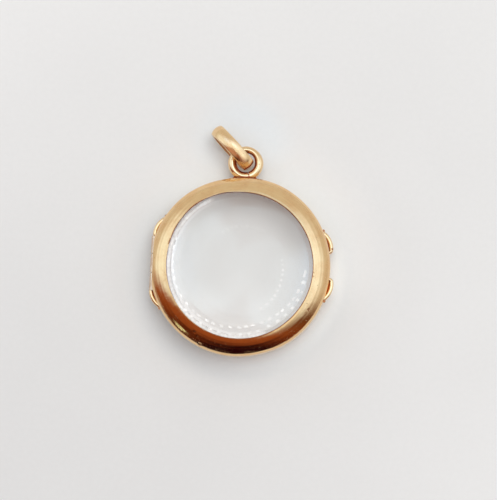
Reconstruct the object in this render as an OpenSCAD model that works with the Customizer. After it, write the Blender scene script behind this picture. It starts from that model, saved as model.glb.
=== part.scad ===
// A round see-through reliquary locket: two gold bezels hinged on the left, a bevelled
// crystal in each, an eyelet soldered to the top of the back bezel, and an oval bail
// that swings round the eyelet. It lies on its back: +Z is out of the front crystal,
// +Y is towards the bail, and the origin is the centre of the case on its rest plane.

/* [Case] */
// Outer diameter of the round case
case_d = 25; // [24:0.5:28]
// Thickness of the closed case
case_t = 6.9; // [6.8:0.1:7.4]
// Clear diameter inside the bezel lip
lip_d = 20.2; // [19.6:0.1:20.4]
// Width of the worn flat land beside the lip
land_w = 0.28; // [0.2:0.02:0.34]
// Radius of the outer shoulder of the bezel
shoulder_r = 2.2; // [2:0.1:2.4]
// Radius of the flatter crown of the bezel
crown_r = 4.5; // [4.2:0.1:5]
// Gap between the closed halves
parting_gap = 0.05; // [0.04:0.01:0.08]

/* [Crystals] */
// Diameter of the domed middle, inside the bevel
ridge_d = 18.3; // [17.8:0.1:18.6]
// Height of the dome over its middle
dome_h = 0.55; // [0.4:0.05:0.6]
// Slope of the bevel from level
bevel_slope = 18; // [15:1:19]
// Depth of the compartment between the crystals
compartment_h = 4.2; // [4.1:0.05:4.3]

/* [Hinge] */
// Outer diameter of the hinge tube
tube_d = 0.9; // [0.8:0.05:0.95]
// Length of the three knuckles together
tube_l = 7.6; // [6.6:0.2:7.6]
// Diameter of the hinge pin
pin_d = 0.46; // [0.4:0.02:0.5]

/* [Ears] */
// How far an ear stands out from the case
ear_reach = 0.8; // [0.6:0.05:0.9]
// Thickness of the strip that an ear is bent from
ear_t = 0.4; // [0.3:0.05:0.5]
// Height of an ear along the side of the case
ear_h = 1.45; // [1.1:0.05:1.6]

/* [Eyelet and bail] */
// Outer diameter of the eyelet ring
eyelet_d = 4.7; // [4.6:0.1:4.9]
// Diameter of the eyelet wire
wire_d = 0.88; // [0.8:0.02:0.9]
// Outer length of the oval bail
bail_l = 7.1; // [6.9:0.1:7.3]
// Outer height of the oval bail
bail_h = 5.5; // [5.3:0.2:5.7]
// Width of the bail's band
bail_w = 1.72; // [1.5:0.02:1.74]
// Thickness of the bail's band at its middle
bail_t = 0.75; // [0.65:0.05:0.8]
// Direction in which the bail lies, seen from the front
bail_azimuth = 135; // [90:5:140]

/* [Hidden] */
$fn = 64;
gold = [0.86, 0.64, 0.42];
crystal = [0.86, 0.9, 0.9, 0.4];

case_r = case_d / 2;
half_t = case_t / 2;
lip_r = lip_d / 2;
ridge_r = ridge_d / 2;

// The bezel's outside is a shoulder arc and a crown arc that share a tangent at joint_a,
// measured from the vertical, over a short straight band beside the parting line.
joint_a = 47;
lip_round = 0.06;
land_out = lip_r + lip_round + land_w;
shoulder_c = case_r - shoulder_r;
crown_c = shoulder_c + (shoulder_r - crown_r) * sin(joint_a);
land_a = asin((land_out - crown_c) / crown_r);
band_h = half_t - shoulder_r * cos(joint_a) - crown_r * (cos(land_a) - cos(joint_a));
crown_z = band_h + (shoulder_r - crown_r) * cos(joint_a);
shoulder_steps = 6;
crown_steps = 5;

// Crystal heights are above the parting plane.
crystal_gap = 0.04;
apex_drop = 0.08;
apex_z = half_t - apex_drop;
ridge_z = apex_z - dome_h;
inside_z = compartment_h / 2;
lip_cover = 0.45;
crystal_r = lip_r + lip_cover;
edge_z = ridge_z - (crystal_r - ridge_r) * tan(bevel_slope);
dome_r = (ridge_r * ridge_r + dome_h * dome_h) / (2 * dome_h);
dome_steps = 8;

// The seat holds the crystal, and the collar of the back half enters the front half's recess.
seat_r = lip_r + lip_cover / 3;
seat_h = 0.35;
cavity_r = 10.75;
collar_t = 0.43;
collar_h = 0.75;
collar_gap = 0.07;
recess_r = cavity_r + collar_t + collar_gap;
recess_room = 0.1;
recess_h = collar_h + recess_room;

hinge_inset = 0.43;
hinge_x = hinge_inset - case_r;
knuckle_gap = 0.1;
middle_knuckle = tube_l / 3;
end_knuckle = (tube_l - middle_knuckle) / 2 - knuckle_gap;
pin_clearance = 0.03;
tube_clearance = 0.06;
cut_margin = 0.05;

// Each ear: azimuth of its middle, the side its square end faces, and its half of the case.
AZIMUTH = 0;
SQUARE_SIDE = 1;
HALF = 2;
ears = [
    [157, 1, "back"],
    [203, -1, "back"],
    [18, -1, "back"],
    [-10.4, 1, "front"],
];
ear_arc_r = 2.9;
ear_square_a = 6;
ear_wall_a = 1.9;
ear_curl_a = 9;
ear_curl_r = 0.24;

// How far what is soldered to the case reaches into its wall
solder_depth = 0.3;

// The eyelet lies level, out from the case and just under the parting plane. Its foot hugs
// the case, and the solder web tapers from the foot to the ring.
eyelet_out = 2.14;
eyelet_drop = 0.78;
eyelet_r = (eyelet_d - wire_d) / 2;
eyelet_y = case_r + eyelet_out;
eyelet_z = half_t - eyelet_drop;
foot_w = 3.5;
foot_h = 1.3;
foot_t = 0.25;
web_h = 0.62;
web_foot_w = foot_w - 0.2;
web_ring_w = 2.3;
web_top_y = eyelet_y - eyelet_r + 0.4 * wire_d;

// The bail is an oval of four arcs. Its centre and the centres of two arcs make a 3-4-5
// triangle, so the arcs meet on the lines through their centres.
// bail_tip is how far the bail passes the eyelet's centre, and bail_lean tips its top to the right.
bail_tip = 0.9;
bail_lean = 1;
bail_unit = (bail_l - bail_h) / 4;
bail_end_x = 3 * bail_unit;
bail_side_y = -4 * bail_unit;
bail_end_r = bail_l / 2 - bail_end_x;
bail_side_r = bail_end_r + 5 * bail_unit;
bail_edge_t = 0.5;
bail_edge_round = 0.1;
bail_dome_steps = 6;
bail_floor_gap = 0.02;

// Points on an arc about [cx, cz], from angle a0 to a1 measured from the vertical.
function arc_points(cx, cz, r, a0, a1, steps) =
    [for (i = [0:steps]) let (a = a0 + (a1 - a0) * i / steps) [cx + r * sin(a), cz + r * cos(a)]];

// The outside of a half and its lip, from the parting face to the top of the crystal's groove.
function outside_points() = concat(
    [[case_r, parting_gap / 2]],
    arc_points(shoulder_c, band_h, shoulder_r, 90, joint_a, shoulder_steps),
    [for (i = [1:crown_steps]) let (a = joint_a + (land_a - joint_a) * i / crown_steps)
        [crown_c + crown_r * sin(a), crown_z + crown_r * cos(a)]],
    [
        [lip_r + lip_round, half_t],
        [lip_r, half_t - lip_round],
        [lip_r, bevel_z(lip_r) + crystal_gap],
        [crystal_r + crystal_gap, bevel_z(crystal_r) + crystal_gap],
        [crystal_r + crystal_gap, inside_z - crystal_gap],
        [seat_r, inside_z - crystal_gap],
        [seat_r, inside_z - crystal_gap - seat_h],
        [cavity_r, inside_z - crystal_gap - seat_h],
    ]
);

// Height of the crystal's bevel at radius r.
function bevel_z(r) = ridge_z - (r - ridge_r) * tan(bevel_slope);

// The front half ends in a recess that takes the collar.
module front_ring() {
    rotate_extrude()
        polygon(concat(outside_points(), [
            [cavity_r, recess_h],
            [recess_r, recess_h],
            [recess_r, parting_gap / 2],
        ]));
}

// The back half, drawn upside down, ends in the collar that stands past the parting plane.
module back_ring() {
    rotate_extrude()
        polygon(concat(outside_points(), [
            [cavity_r, -collar_h],
            [cavity_r + collar_t, -collar_h],
            [cavity_r + collar_t, parting_gap / 2],
        ]));
}

// A length of hinge tube or bore centred at y, along Y through the hinge axis.
module hinge_rod(d, length, y = 0) {
    translate([hinge_x, y, 0])
        rotate([90, 0, 0])
            cylinder(h = length, d = d, center = true);
}

// The slice outside the hinge axis, which both halves give up over the tube's length.
module hinge_flat() {
    translate([hinge_x - case_r, -tube_l / 2 - cut_margin, -case_t])
        cube([case_r, tube_l + 2 * cut_margin, 2 * case_t]);
}

// Distance along Y from the middle of the hinge to the middle of an end knuckle.
function end_knuckle_y() = (tube_l - end_knuckle) / 2;

module end_knuckles(d, extra = 0) {
    for (side = [-1, 1])
        hinge_rod(d, end_knuckle + 2 * extra, side * end_knuckle_y());
}

// One ear in plan: a strip bent out from the case, closed square at one end and curled at the other.
module ear_plan(square_side) {
    arc_c = case_r + ear_reach - ear_arc_r;
    far = 2 * case_r;
    difference() {
        union() {
            intersection() {
                translate([arc_c, 0])
                    circle(r = ear_arc_r);
                polygon([
                    [0, 0],
                    [far, far * tan(square_side * ear_square_a)],
                    [far, -far * tan(square_side * 2 * ear_square_a)],
                ]);
            }
            rotate(-square_side * ear_curl_a)
                translate([case_r + ear_curl_r / 2, 0])
                    circle(r = ear_curl_r, $fn = 24);
        }
        intersection() {
            translate([arc_c, 0])
                circle(r = ear_arc_r - ear_t);
            polygon([
                [0, 0],
                [far, far * tan(square_side * (ear_square_a - ear_wall_a))],
                [far, -far * tan(square_side * 2 * ear_square_a)],
            ]);
        }
        circle(r = case_r - solder_depth);
    }
}

// The ears of one half, standing up from just above the parting plane.
module ears_of(half) {
    for (ear = ears)
        if (ear[HALF] == half)
            translate([0, 0, parting_gap])
                rotate(ear[AZIMUTH])
                    linear_extrude(ear_h)
                        ear_plan(ear[SQUARE_SIDE]);
}

// The eyelet ring, its foot on the case wall and the solder between them.
module eyelet() {
    translate([0, eyelet_y, 0])
        rotate_extrude()
            translate([eyelet_r, 0])
                circle(d = wire_d, $fn = 32);
    translate([0, 0, -foot_h / 2])
        linear_extrude(foot_h)
            intersection() {
                difference() {
                    circle(r = case_r + foot_t, $fn = 128);
                    circle(r = case_r - solder_depth, $fn = 128);
                }
                translate([-foot_w / 2, 0])
                    square([foot_w, 2 * case_r]);
            }
    translate([0, 0, -web_h / 2])
        linear_extrude(web_h)
            difference() {
                polygon([
                    [-web_foot_w / 2, case_r - solder_depth],
                    [web_foot_w / 2, case_r - solder_depth],
                    [web_ring_w / 2, web_top_y],
                    [-web_ring_w / 2, web_top_y],
                ]);
                translate([0, eyelet_y])
                    circle(r = eyelet_r);
            }
}

module front_frame() {
    color(gold)
        translate([0, 0, half_t])
            difference() {
                union() {
                    difference() {
                        front_ring();
                        hinge_flat();
                        end_knuckles(tube_d + 2 * tube_clearance, knuckle_gap / 2);
                    }
                    hinge_rod(tube_d, middle_knuckle);
                    ears_of("front");
                }
                hinge_rod(pin_d + 2 * pin_clearance, tube_l);
            }
}

module back_frame() {
    color(gold) {
        translate([0, 0, half_t])
            difference() {
                union() {
                    difference() {
                        mirror([0, 0, 1])
                            back_ring();
                        hinge_flat();
                        hinge_rod(tube_d + 2 * tube_clearance, middle_knuckle + knuckle_gap);
                    }
                    end_knuckles(tube_d);
                    mirror([0, 0, 1])
                        ears_of("back");
                    translate([0, 0, eyelet_z - half_t])
                        eyelet();
                }
                hinge_rod(pin_d + 2 * pin_clearance, tube_l + 2 * cut_margin);
            }
    }
}

// A crystal above the parting plane: flat inside, bevelled and domed outside.
module crystal_shape() {
    dome_a = asin(ridge_r / dome_r);
    rotate_extrude()
        polygon(concat(
            [[0, inside_z], [crystal_r, inside_z], [crystal_r, edge_z]],
            arc_points(0, apex_z - dome_r, dome_r, dome_a, 0, dome_steps)
        ));
}

module front_crystal() {
    color(crystal)
        translate([0, 0, half_t])
            crystal_shape();
}

module back_crystal() {
    color(crystal)
        translate([0, 0, half_t])
            mirror([0, 0, 1])
                crystal_shape();
}

module hinge_pin() {
    color(gold)
        translate([0, 0, half_t])
            hinge_rod(pin_d, tube_l);
}

// The band's section, with its outer face crowned and r the radius of that crown's top.
module bail_section(r) {
    rise = bail_t - bail_edge_t;
    half_w = bail_w / 2;
    crown = (half_w * half_w + rise * rise) / (2 * rise);
    crown_a = asin(half_w / crown);
    polygon(concat(
        [[r - bail_t, half_w - bail_edge_round], [r - bail_t, -half_w + bail_edge_round]],
        [[r - bail_t + bail_edge_round, -half_w]],
        [for (i = [0:bail_dome_steps]) let (a = -crown_a + 2 * crown_a * i / bail_dome_steps)
            [r - crown + crown * cos(a), crown * sin(a)]],
        [[r - bail_t + bail_edge_round, half_w]]
    ));
}

// The part of a whole turn of the band, centred at [cx, cy], that lies over the polygon wedge.
module bail_arc(cx, cy, r, wedge) {
    intersection() {
        translate([cx, cy, 0])
            rotate_extrude()
                bail_section(r);
        linear_extrude(2 * bail_w, center = true)
            polygon(wedge);
    }
}

module bail() {
    // The slope of the lines that part the arcs is 4 in 3.
    far = 10;
    end_wedge = [[bail_end_x, 0], [bail_end_x + 3 * far, 4 * far], [bail_end_x + 3 * far, -4 * far]];
    side_wedge = [[0, bail_side_y], [3 * far, bail_side_y + 4 * far], [-3 * far, bail_side_y + 4 * far]];
    lowest = bail_h / 2 * cos(bail_lean) + (bail_w / 2 - bail_edge_round) * sin(bail_lean);
    color(gold)
        translate([0, eyelet_y, lowest + bail_floor_gap])
            rotate(bail_azimuth)
                translate([bail_l / 2 - bail_tip, 0, 0])
                    rotate([90 + bail_lean, 0, 0])
                        for (side = [0, 180])
                            rotate(side) {
                                bail_arc(bail_end_x, 0, bail_end_r, end_wedge);
                                bail_arc(0, bail_side_y, bail_side_r, side_wedge);
                            }
}

back_frame();
front_frame();
back_crystal();
front_crystal();
hinge_pin();
bail();
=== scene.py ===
"""Dresses a round see-through locket: two turned gold bezels with a domed crystal in each,
the hinge, the thumb ears, the split eyelet with its solder, and the bail, on plain paper."""

import logging
import math
import random
from dataclasses import dataclass, field
from enum import Enum
from typing import Iterable, Mapping, Sequence, Union

import bmesh
import bpy
from mathutils import Matrix, Vector


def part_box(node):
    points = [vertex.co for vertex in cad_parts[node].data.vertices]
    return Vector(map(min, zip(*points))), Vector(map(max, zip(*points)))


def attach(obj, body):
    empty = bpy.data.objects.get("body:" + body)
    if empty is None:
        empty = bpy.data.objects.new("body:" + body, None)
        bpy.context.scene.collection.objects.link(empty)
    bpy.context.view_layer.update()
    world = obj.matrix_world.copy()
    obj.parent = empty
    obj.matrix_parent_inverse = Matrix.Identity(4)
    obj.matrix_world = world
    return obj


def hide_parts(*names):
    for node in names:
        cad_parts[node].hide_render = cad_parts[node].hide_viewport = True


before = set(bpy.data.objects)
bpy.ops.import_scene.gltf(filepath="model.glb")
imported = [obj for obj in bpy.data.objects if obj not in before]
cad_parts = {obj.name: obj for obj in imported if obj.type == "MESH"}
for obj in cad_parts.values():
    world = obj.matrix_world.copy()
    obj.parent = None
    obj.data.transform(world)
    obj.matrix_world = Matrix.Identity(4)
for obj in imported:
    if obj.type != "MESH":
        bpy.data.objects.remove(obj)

log = logging.getLogger("locket")

MM = 0.001
CASE_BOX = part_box("front_frame")
BACK_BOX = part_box("back_frame")
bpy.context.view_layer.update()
CASE_R = -CASE_BOX[0][1] / MM
CASE_T = CASE_BOX[1][2] / MM
HALF_T = CASE_T / 2

Socket = bpy.types.NodeSocket
Dress = bpy.types.Material
Piece = bpy.types.Object
Pair = tuple[float, float]
Triple = tuple[float, float, float]
Spots = tuple[tuple[float, float, float, float], ...]
Points = list[Pair]
Value = Union[float, int, bool, str, tuple, Socket, Dress]
Inputs = Mapping[Union[int, str], Value]


class Body(Enum):
    """The moving bodies that pieces ride on."""

    BACK = "back"
    FRONT = "front"
    BAIL = "bail"


class Slot(Enum):
    """The record's material slots."""

    ROSE_GOLD = "rose_gold"
    CRYSTAL = "crystal"


class Half(Enum):
    """The half of the case, as the sign of its height over the parting plane."""

    FRONT = 1
    BACK = -1


class Grain(Enum):
    """How the polishing marks of a gold surface run."""

    ROUND = "round the case"
    STRAIGHT = "along one line"
    EVEN = "no way in particular"


class NodeSheet:
    """Adds nodes to one tree and joins their sockets."""

    def __init__(self, tree: bpy.types.NodeTree) -> None:
        """Keeps the tree that the nodes go into.

        Args:
            tree: A shader, world or geometry node tree.
        """
        self.tree = tree

    def add(self, kind: str, values: Inputs | None = None, **settings) -> bpy.types.Node:
        """Adds a node.

        Args:
            kind: The node's type name.
            values: What each input gets, by its name or index: a socket to join or a plain value.
            **settings: The node's own properties.

        Returns:
            The new node.
        """
        node = self.tree.nodes.new(kind)
        for name, value in settings.items():
            setattr(node, name, value)
        for key, value in (values or {}).items():
            if isinstance(value, Socket):
                self.tree.links.new(value, node.inputs[key])
            else:
                node.inputs[key].default_value = value
        return node

    def math(self, operation: str, *terms: Value, clamp: bool = False) -> Socket:
        """Returns the result of a Math node on up to three terms."""
        values = dict(enumerate(terms))
        return self.add("ShaderNodeMath", values, operation=operation, use_clamp=clamp).outputs[0]

    def vector(self, operation: str, *terms: Value) -> Socket:
        """Returns the vector result of a Vector Math node."""
        return self.add("ShaderNodeVectorMath", dict(enumerate(terms)), operation=operation).outputs["Vector"]

    def scale(self, vector: Value, factor: Value) -> Socket:
        """Returns a vector times a number."""
        values = {0: vector, "Scale": factor}
        return self.add("ShaderNodeVectorMath", values, operation="SCALE").outputs["Vector"]

    def measure(self, operation: str, *terms: Value) -> Socket:
        """Returns the number that a Vector Math node such as LENGTH or DOT_PRODUCT gives."""
        return self.add("ShaderNodeVectorMath", dict(enumerate(terms)), operation=operation).outputs["Value"]

    def split(self, vector: Socket) -> Sequence[Socket]:
        """Returns the X, Y and Z of a vector."""
        return self.add("ShaderNodeSeparateXYZ", {0: vector}).outputs

    def join(self, x: Value, y: Value, z: Value) -> Socket:
        """Returns the vector with these three parts."""
        return self.add("ShaderNodeCombineXYZ", {0: x, 1: y, 2: z}).outputs[0]

    def radius(self, x: Socket, y: Socket) -> Socket:
        """Returns the distance from the case's axis."""
        return self.measure("LENGTH", self.join(x, y, 0.0))

    def heading(self, x: Socket, y: Socket) -> Socket:
        """Returns the level direction away from the case's axis."""
        return self.vector("NORMALIZE", self.join(x, y, 0.0))

    def toward(self, x: Socket, y: Socket, azimuth: float) -> Socket:
        """Returns 1 at an azimuth in degrees, 0 at right angles to it and -1 opposite it."""
        return self.measure("DOT_PRODUCT", self.heading(x, y), (*polar_spot(azimuth, 1.0), 0.0))

    def aside(self, value: Value, middle: float) -> Socket:
        """Returns how far a value is from a middle one."""
        return self.math("ABSOLUTE", self.math("SUBTRACT", value, middle))

    def ramp(self, value: Value, low: Value, high: Value, start: Value = 0.0, end: Value = 1.0) -> Socket:
        """Maps a value smoothly from low and high to start and end, and holds it beyond them."""
        inputs = {0: value, 1: low, 2: high, 3: start, 4: end}
        return self.add("ShaderNodeMapRange", inputs, interpolation_type="SMOOTHSTEP").outputs[0]

    def blend(self, share: Value, first: Value, second: Value) -> Socket:
        """Returns the colour between two colours, at a share of the second."""
        return self.add("ShaderNodeMix", {0: share, 6: first, 7: second}, data_type="RGBA").outputs[2]

    def noise(self, place: Value, scale: Value, detail: float = 2.0, roughness: float = 0.5) -> Socket:
        """Returns the value of a noise at a place."""
        inputs = {"Vector": place, "Scale": scale, "Detail": detail, "Roughness": roughness}
        return self.add("ShaderNodeTexNoise", inputs).outputs[0]

    def place_mm(self) -> Socket:
        """Returns the place on the surface in mm, in the piece's own coordinates."""
        return self.scale(self.add("ShaderNodeTexCoord").outputs["Object"], 1 / MM)

    def bump(self, strength: float, depth: float, height: Socket) -> Socket:
        """Returns the normal of a relief whose depth is given in mm."""
        inputs = {"Strength": strength, "Distance": depth * MM, "Height": height}
        return self.add("ShaderNodeBump", inputs).outputs[0]

    def end(self, shader: bpy.types.Node, **settings) -> None:
        """Joins a shader to the material's output."""
        self.add("ShaderNodeOutputMaterial", {"Surface": shader.outputs[0]}, **settings)


class EffectGroup(NodeSheet):
    """A shader node group with named inputs and outputs, built once and placed in many materials."""

    def __init__(
        self, name: str, inputs: Mapping[str, tuple[str, Value]], outputs: Mapping[str, str],
    ) -> None:
        """Makes the empty group and its sockets.

        Args:
            name: The group's name.
            inputs: Each input's socket type and default value, by name.
            outputs: Each output's socket type, by name.
        """
        super().__init__(bpy.data.node_groups.new(name, "ShaderNodeTree"))
        for label, (kind, default) in inputs.items():
            socket = self.tree.interface.new_socket(label, in_out="INPUT", socket_type=kind)
            socket.default_value = default
        for label, kind in outputs.items():
            self.tree.interface.new_socket(label, in_out="OUTPUT", socket_type=kind)
        self.given = self.tree.nodes.new("NodeGroupInput").outputs
        self.result = self.tree.nodes.new("NodeGroupOutput").inputs

    def give(self, **results: Socket) -> None:
        """Joins sockets to the group's outputs, by name."""
        for label, socket in results.items():
            self.tree.links.new(socket, self.result[label])

    def place(self, sheet: NodeSheet, values: Mapping[str, Value]) -> Mapping[str, Socket]:
        """Puts the group into another tree.

        Args:
            sheet: The tree that uses the group.
            values: What its inputs get, by name.

        Returns:
            The placed node's outputs.
        """
        return sheet.add("ShaderNodeGroup", values, node_tree=self.tree).outputs


class ShapeTree(NodeSheet):
    """A Geometry Nodes tree with named sizes, which ends in real faces that carry a material."""

    KINDS = {float: "NodeSocketFloat", int: "NodeSocketInt", tuple: "NodeSocketVector"}

    def __init__(self, name: str, sizes: Mapping[str, Value]) -> None:
        """Makes the tree and its named inputs.

        Args:
            name: The tree's name.
            sizes: Each input's value, by name. A float, an int or a tuple of three sets its type.
        """
        super().__init__(bpy.data.node_groups.new(name, "GeometryNodeTree"))
        self.sizes = dict(sizes)
        face = self.tree.interface
        face.new_socket("Geometry", in_out="INPUT", socket_type="NodeSocketGeometry")
        face.new_socket("Geometry", in_out="OUTPUT", socket_type="NodeSocketGeometry")
        self.keys = {}
        for label, value in self.sizes.items():
            socket = face.new_socket(label, in_out="INPUT", socket_type=self.KINDS[type(value)])
            self.keys[label] = socket.identifier
        self.given = self.tree.nodes.new("NodeGroupInput").outputs
        self.result = self.tree.nodes.new("NodeGroupOutput").inputs[0]

    def curve(self, geometry: Socket) -> Socket:
        """Returns a chain of edges as a curve."""
        return self.add("GeometryNodeMeshToCurve", {0: geometry}).outputs[0]

    def sweep(self, path: Socket, section: Socket, caps: bool = False, size: Value = 1.0) -> Socket:
        """Returns the surface of a section swept along a path, at a size that may change on the way."""
        inputs = {"Curve": path, "Profile Curve": section, "Fill Caps": caps, "Scale": size}
        return self.add("GeometryNodeCurveToMesh", inputs).outputs[0]

    def turned(self, radius: Value, segments: Value) -> Socket:
        """Returns the drawn section turned round the axis, from its distance to a circle."""
        return self.sweep(self.circle(radius, segments), self.curve(self.given[0]))

    def move(self, geometry: Socket, place: Value, turn: Value = (0.0, 0.0, 0.0)) -> Socket:
        """Returns the geometry turned and then moved."""
        inputs = {"Geometry": geometry, "Translation": place, "Rotation": turn}
        return self.add("GeometryNodeTransform", inputs).outputs[0]

    def gather(self, parts: Iterable[Socket]) -> Socket:
        """Returns several geometries as one."""
        joined = self.add("GeometryNodeJoinGeometry")
        for part in parts:
            self.tree.links.new(part, joined.inputs[0])
        return joined.outputs[0]

    def circle(self, radius: Value, resolution: Value) -> Socket:
        """Returns a circle as a curve."""
        inputs = {"Radius": radius, "Resolution": resolution}
        return self.add("GeometryNodeCurvePrimitiveCircle", inputs).outputs[0]

    def box(self, width: Value, height: Value) -> Socket:
        """Returns a rectangle as a curve."""
        inputs = {"Width": width, "Height": height}
        return self.add("GeometryNodeCurvePrimitiveQuadrilateral", inputs).outputs[0]

    def rounded(self, curve: Socket, edge: Value, count: int) -> Socket:
        """Returns a curve whose corners are rounded with a number of chords."""
        inputs = {"Curve": curve, "Count": count, "Radius": edge}
        return self.add("GeometryNodeFilletCurve", inputs, mode="POLY").outputs[0]

    def rod(self, radius: Value, length: Value, sides: int) -> Socket:
        """Returns an upright rod."""
        inputs = {"Vertices": sides, "Radius": radius, "Depth": length}
        return self.add("GeometryNodeMeshCylinder", inputs).outputs[0]

    def shift(self, geometry: Socket, offset: Value) -> Socket:
        """Returns the geometry with each point moved by its own offset."""
        return self.add("GeometryNodeSetPosition", {"Geometry": geometry, "Offset": offset}).outputs[0]

    def at(self) -> Socket:
        """Returns the place of each point."""
        return self.add("GeometryNodeInputPosition").outputs[0]

    def cut(self, shape: Socket, tool: Socket) -> Socket:
        """Returns a shape less a tool."""
        both = {"Mesh 1": shape, "Mesh 2": tool}
        return self.add("GeometryNodeMeshBoolean", both, operation="DIFFERENCE", solver="MANIFOLD").outputs[0]

    def fuse(self, parts: Iterable[Socket]) -> Socket:
        """Returns several closed shapes as one."""
        both = {"Mesh 2": self.gather(parts)}
        return self.add("GeometryNodeMeshBoolean", both, operation="UNION", solver="MANIFOLD").outputs[0]

    def make(self, shape: Socket, name: str, drawn: bpy.types.Mesh, dress: Dress) -> Piece:
        """Ends the tree, runs it on a drawn chain or points, and keeps the result as one plain mesh.

        Args:
            shape: The geometry that the tree ends in.
            name: The new object's name.
            drawn: The mesh that the tree is given.
            dress: The material of every face.

        Returns:
            The new object, at the origin, with no modifier on it.
        """
        real = self.add("GeometryNodeRealizeInstances", {0: shape}).outputs[0]
        dressed = self.add("GeometryNodeSetMaterial", {"Geometry": real, "Material": dress}).outputs[0]
        self.tree.links.new(dressed, self.result)
        carrier = put(name + "_drawing", drawn)
        modifier = carrier.modifiers.new("shape", "NODES")
        modifier.node_group = self.tree
        for label, value in self.sizes.items():
            modifier[self.keys[label]] = value
        graph = bpy.context.evaluated_depsgraph_get()
        mesh = bpy.data.meshes.new_from_object(carrier.evaluated_get(graph), depsgraph=graph)
        mesh.name = name
        carrier.modifiers.remove(modifier)
        bpy.data.objects.remove(carrier)
        bpy.data.meshes.remove(drawn)
        return put(name, mesh)


def put(name: str, data: bpy.types.ID) -> Piece:
    """Makes an object of a mesh, a lamp or a camera and puts it into the scene."""
    made = bpy.data.objects.new(name, data)
    bpy.context.scene.collection.objects.link(made)
    return made


def keep(made: bmesh.types.BMesh, name: str, dress: Dress) -> Piece:
    """Ends the edit of a mesh and makes an object of it, in its material."""
    mesh = bpy.data.meshes.new(name)
    made.to_mesh(mesh)
    made.free()
    mesh.materials.append(dress)
    return put(name, mesh)


def new_material(name: str) -> tuple[Dress, NodeSheet]:
    """Makes an empty material, and the sheet that its nodes go into."""
    material = bpy.data.materials.new(name)
    material.use_nodes = True
    material.node_tree.nodes.clear()
    return material, NodeSheet(material.node_tree)


def arc(centre: Pair, radius: float, start: float, end: float, steps: int) -> Points:
    """Points on an arc.

    Args:
        centre: The arc's centre.
        radius: Its radius.
        start: The first point's angle in degrees, measured from +Y towards +X.
        end: The last point's angle.
        steps: The number of chords.

    Returns:
        The points, both ends included.
    """
    angles = [math.radians(start + (end - start) * i / steps) for i in range(steps + 1)]
    return [(centre[0] + radius * math.sin(a), centre[1] + radius * math.cos(a)) for a in angles]


def polar_spot(azimuth: float, radius: float) -> Pair:
    """The place in plan at an azimuth in degrees and a distance from the case's axis."""
    turn = math.radians(azimuth)
    return (radius * math.cos(turn), radius * math.sin(turn))


def dark_spots_at(turns: Iterable[float], reach: float, size: float, soft: float) -> Spots:
    """Equal dark spots at some azimuths: each one's middle in plan, its radius and its soft edge in mm."""
    return tuple((*polar_spot(turn, reach), size, soft) for turn in turns)


def eased(first: Pair, slope: float, last: Pair, end_slope: float, steps: int) -> Points:
    """Points on a curve that leaves one point and reaches another at given slopes below level.

    Args:
        first: The first point.
        slope: Degrees below level at the first point.
        last: The last point.
        end_slope: Degrees below level at the last point.
        steps: The number of chords.

    Returns:
        The points between the two, without either.
    """
    reach = math.dist(first, last) / 3
    down = math.radians(slope)
    end_down = math.radians(end_slope)
    near = (first[0] + reach * math.cos(down), first[1] - reach * math.sin(down))
    far = (last[0] - reach * math.cos(end_down), last[1] + reach * math.sin(end_down))
    points = []
    for i in range(1, steps):
        t = i / steps
        weights = ((1 - t) ** 3, 3 * t * (1 - t) ** 2, 3 * t * t * (1 - t), t ** 3)
        points.append(tuple(sum(w * p[k] for w, p in zip(weights, (first, near, far, last))) for k in (0, 1)))
    return points


def chain(points: Iterable[Sequence[float]], closed: bool) -> bpy.types.Mesh:
    """A mesh of edges through points given in mm.

    Args:
        points: Points of two or three numbers.
        closed: Whether the last point joins the first.

    Returns:
        The mesh, in metres.
    """
    verts = [tuple(c * MM for c in (*p, 0.0)[:3]) for p in points]
    count = len(verts)
    edges = [(i, (i + 1) % count) for i in range(count if closed else count - 1)]
    mesh = bpy.data.meshes.new("drawing")
    mesh.from_pydata(verts, edges, [])
    return mesh


def finish_mesh(piece: Piece, sharp: float = 28.0) -> Piece:
    """Points the faces outwards, shades them and marks the worn edges.

    The attribute "wear" is 1 on tight outer edges, 0 on broad faces and -1 in tight inner corners.

    Args:
        piece: The mesh object, which is closed.
        sharp: The angle in degrees over which an edge stays sharp.

    Returns:
        The same object.
    """
    tight = 1.6 / MM
    shortest = 0.03 * MM
    mesh = piece.data
    made = bmesh.new()
    made.from_mesh(mesh)
    bmesh.ops.recalc_face_normals(made, faces=made.faces)
    if made.calc_volume(signed=True) < 0:
        bmesh.ops.reverse_faces(made, faces=made.faces)
    made.verts.ensure_lookup_table()
    wear = []
    for vert in made.verts:
        bends = [
            edge.calc_face_angle_signed(0.0) / max(edge.calc_length(), shortest)
            for edge in vert.link_edges
        ]
        most = max(bends, key=abs, default=0.0)
        wear.append(max(-1.0, min(1.0, most / tight)))
    made.to_mesh(mesh)
    made.free()
    layer = mesh.attributes.new("wear", "FLOAT", "POINT")
    layer.data.foreach_set("value", wear)
    mesh.shade_smooth()
    mesh.set_sharp_from_angle(angle=math.radians(sharp))
    return piece


def settle(piece: Piece, body: Body, slot: Slot, *nodes: str) -> None:
    """Lets a finished piece ride on its body and stand for the nodes it replaces."""
    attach(piece, body.value)
    if nodes:
        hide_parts(*nodes)
    log.info("%s: %d faces on %s", piece.name, len(piece.data.polygons), body.value)


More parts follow.
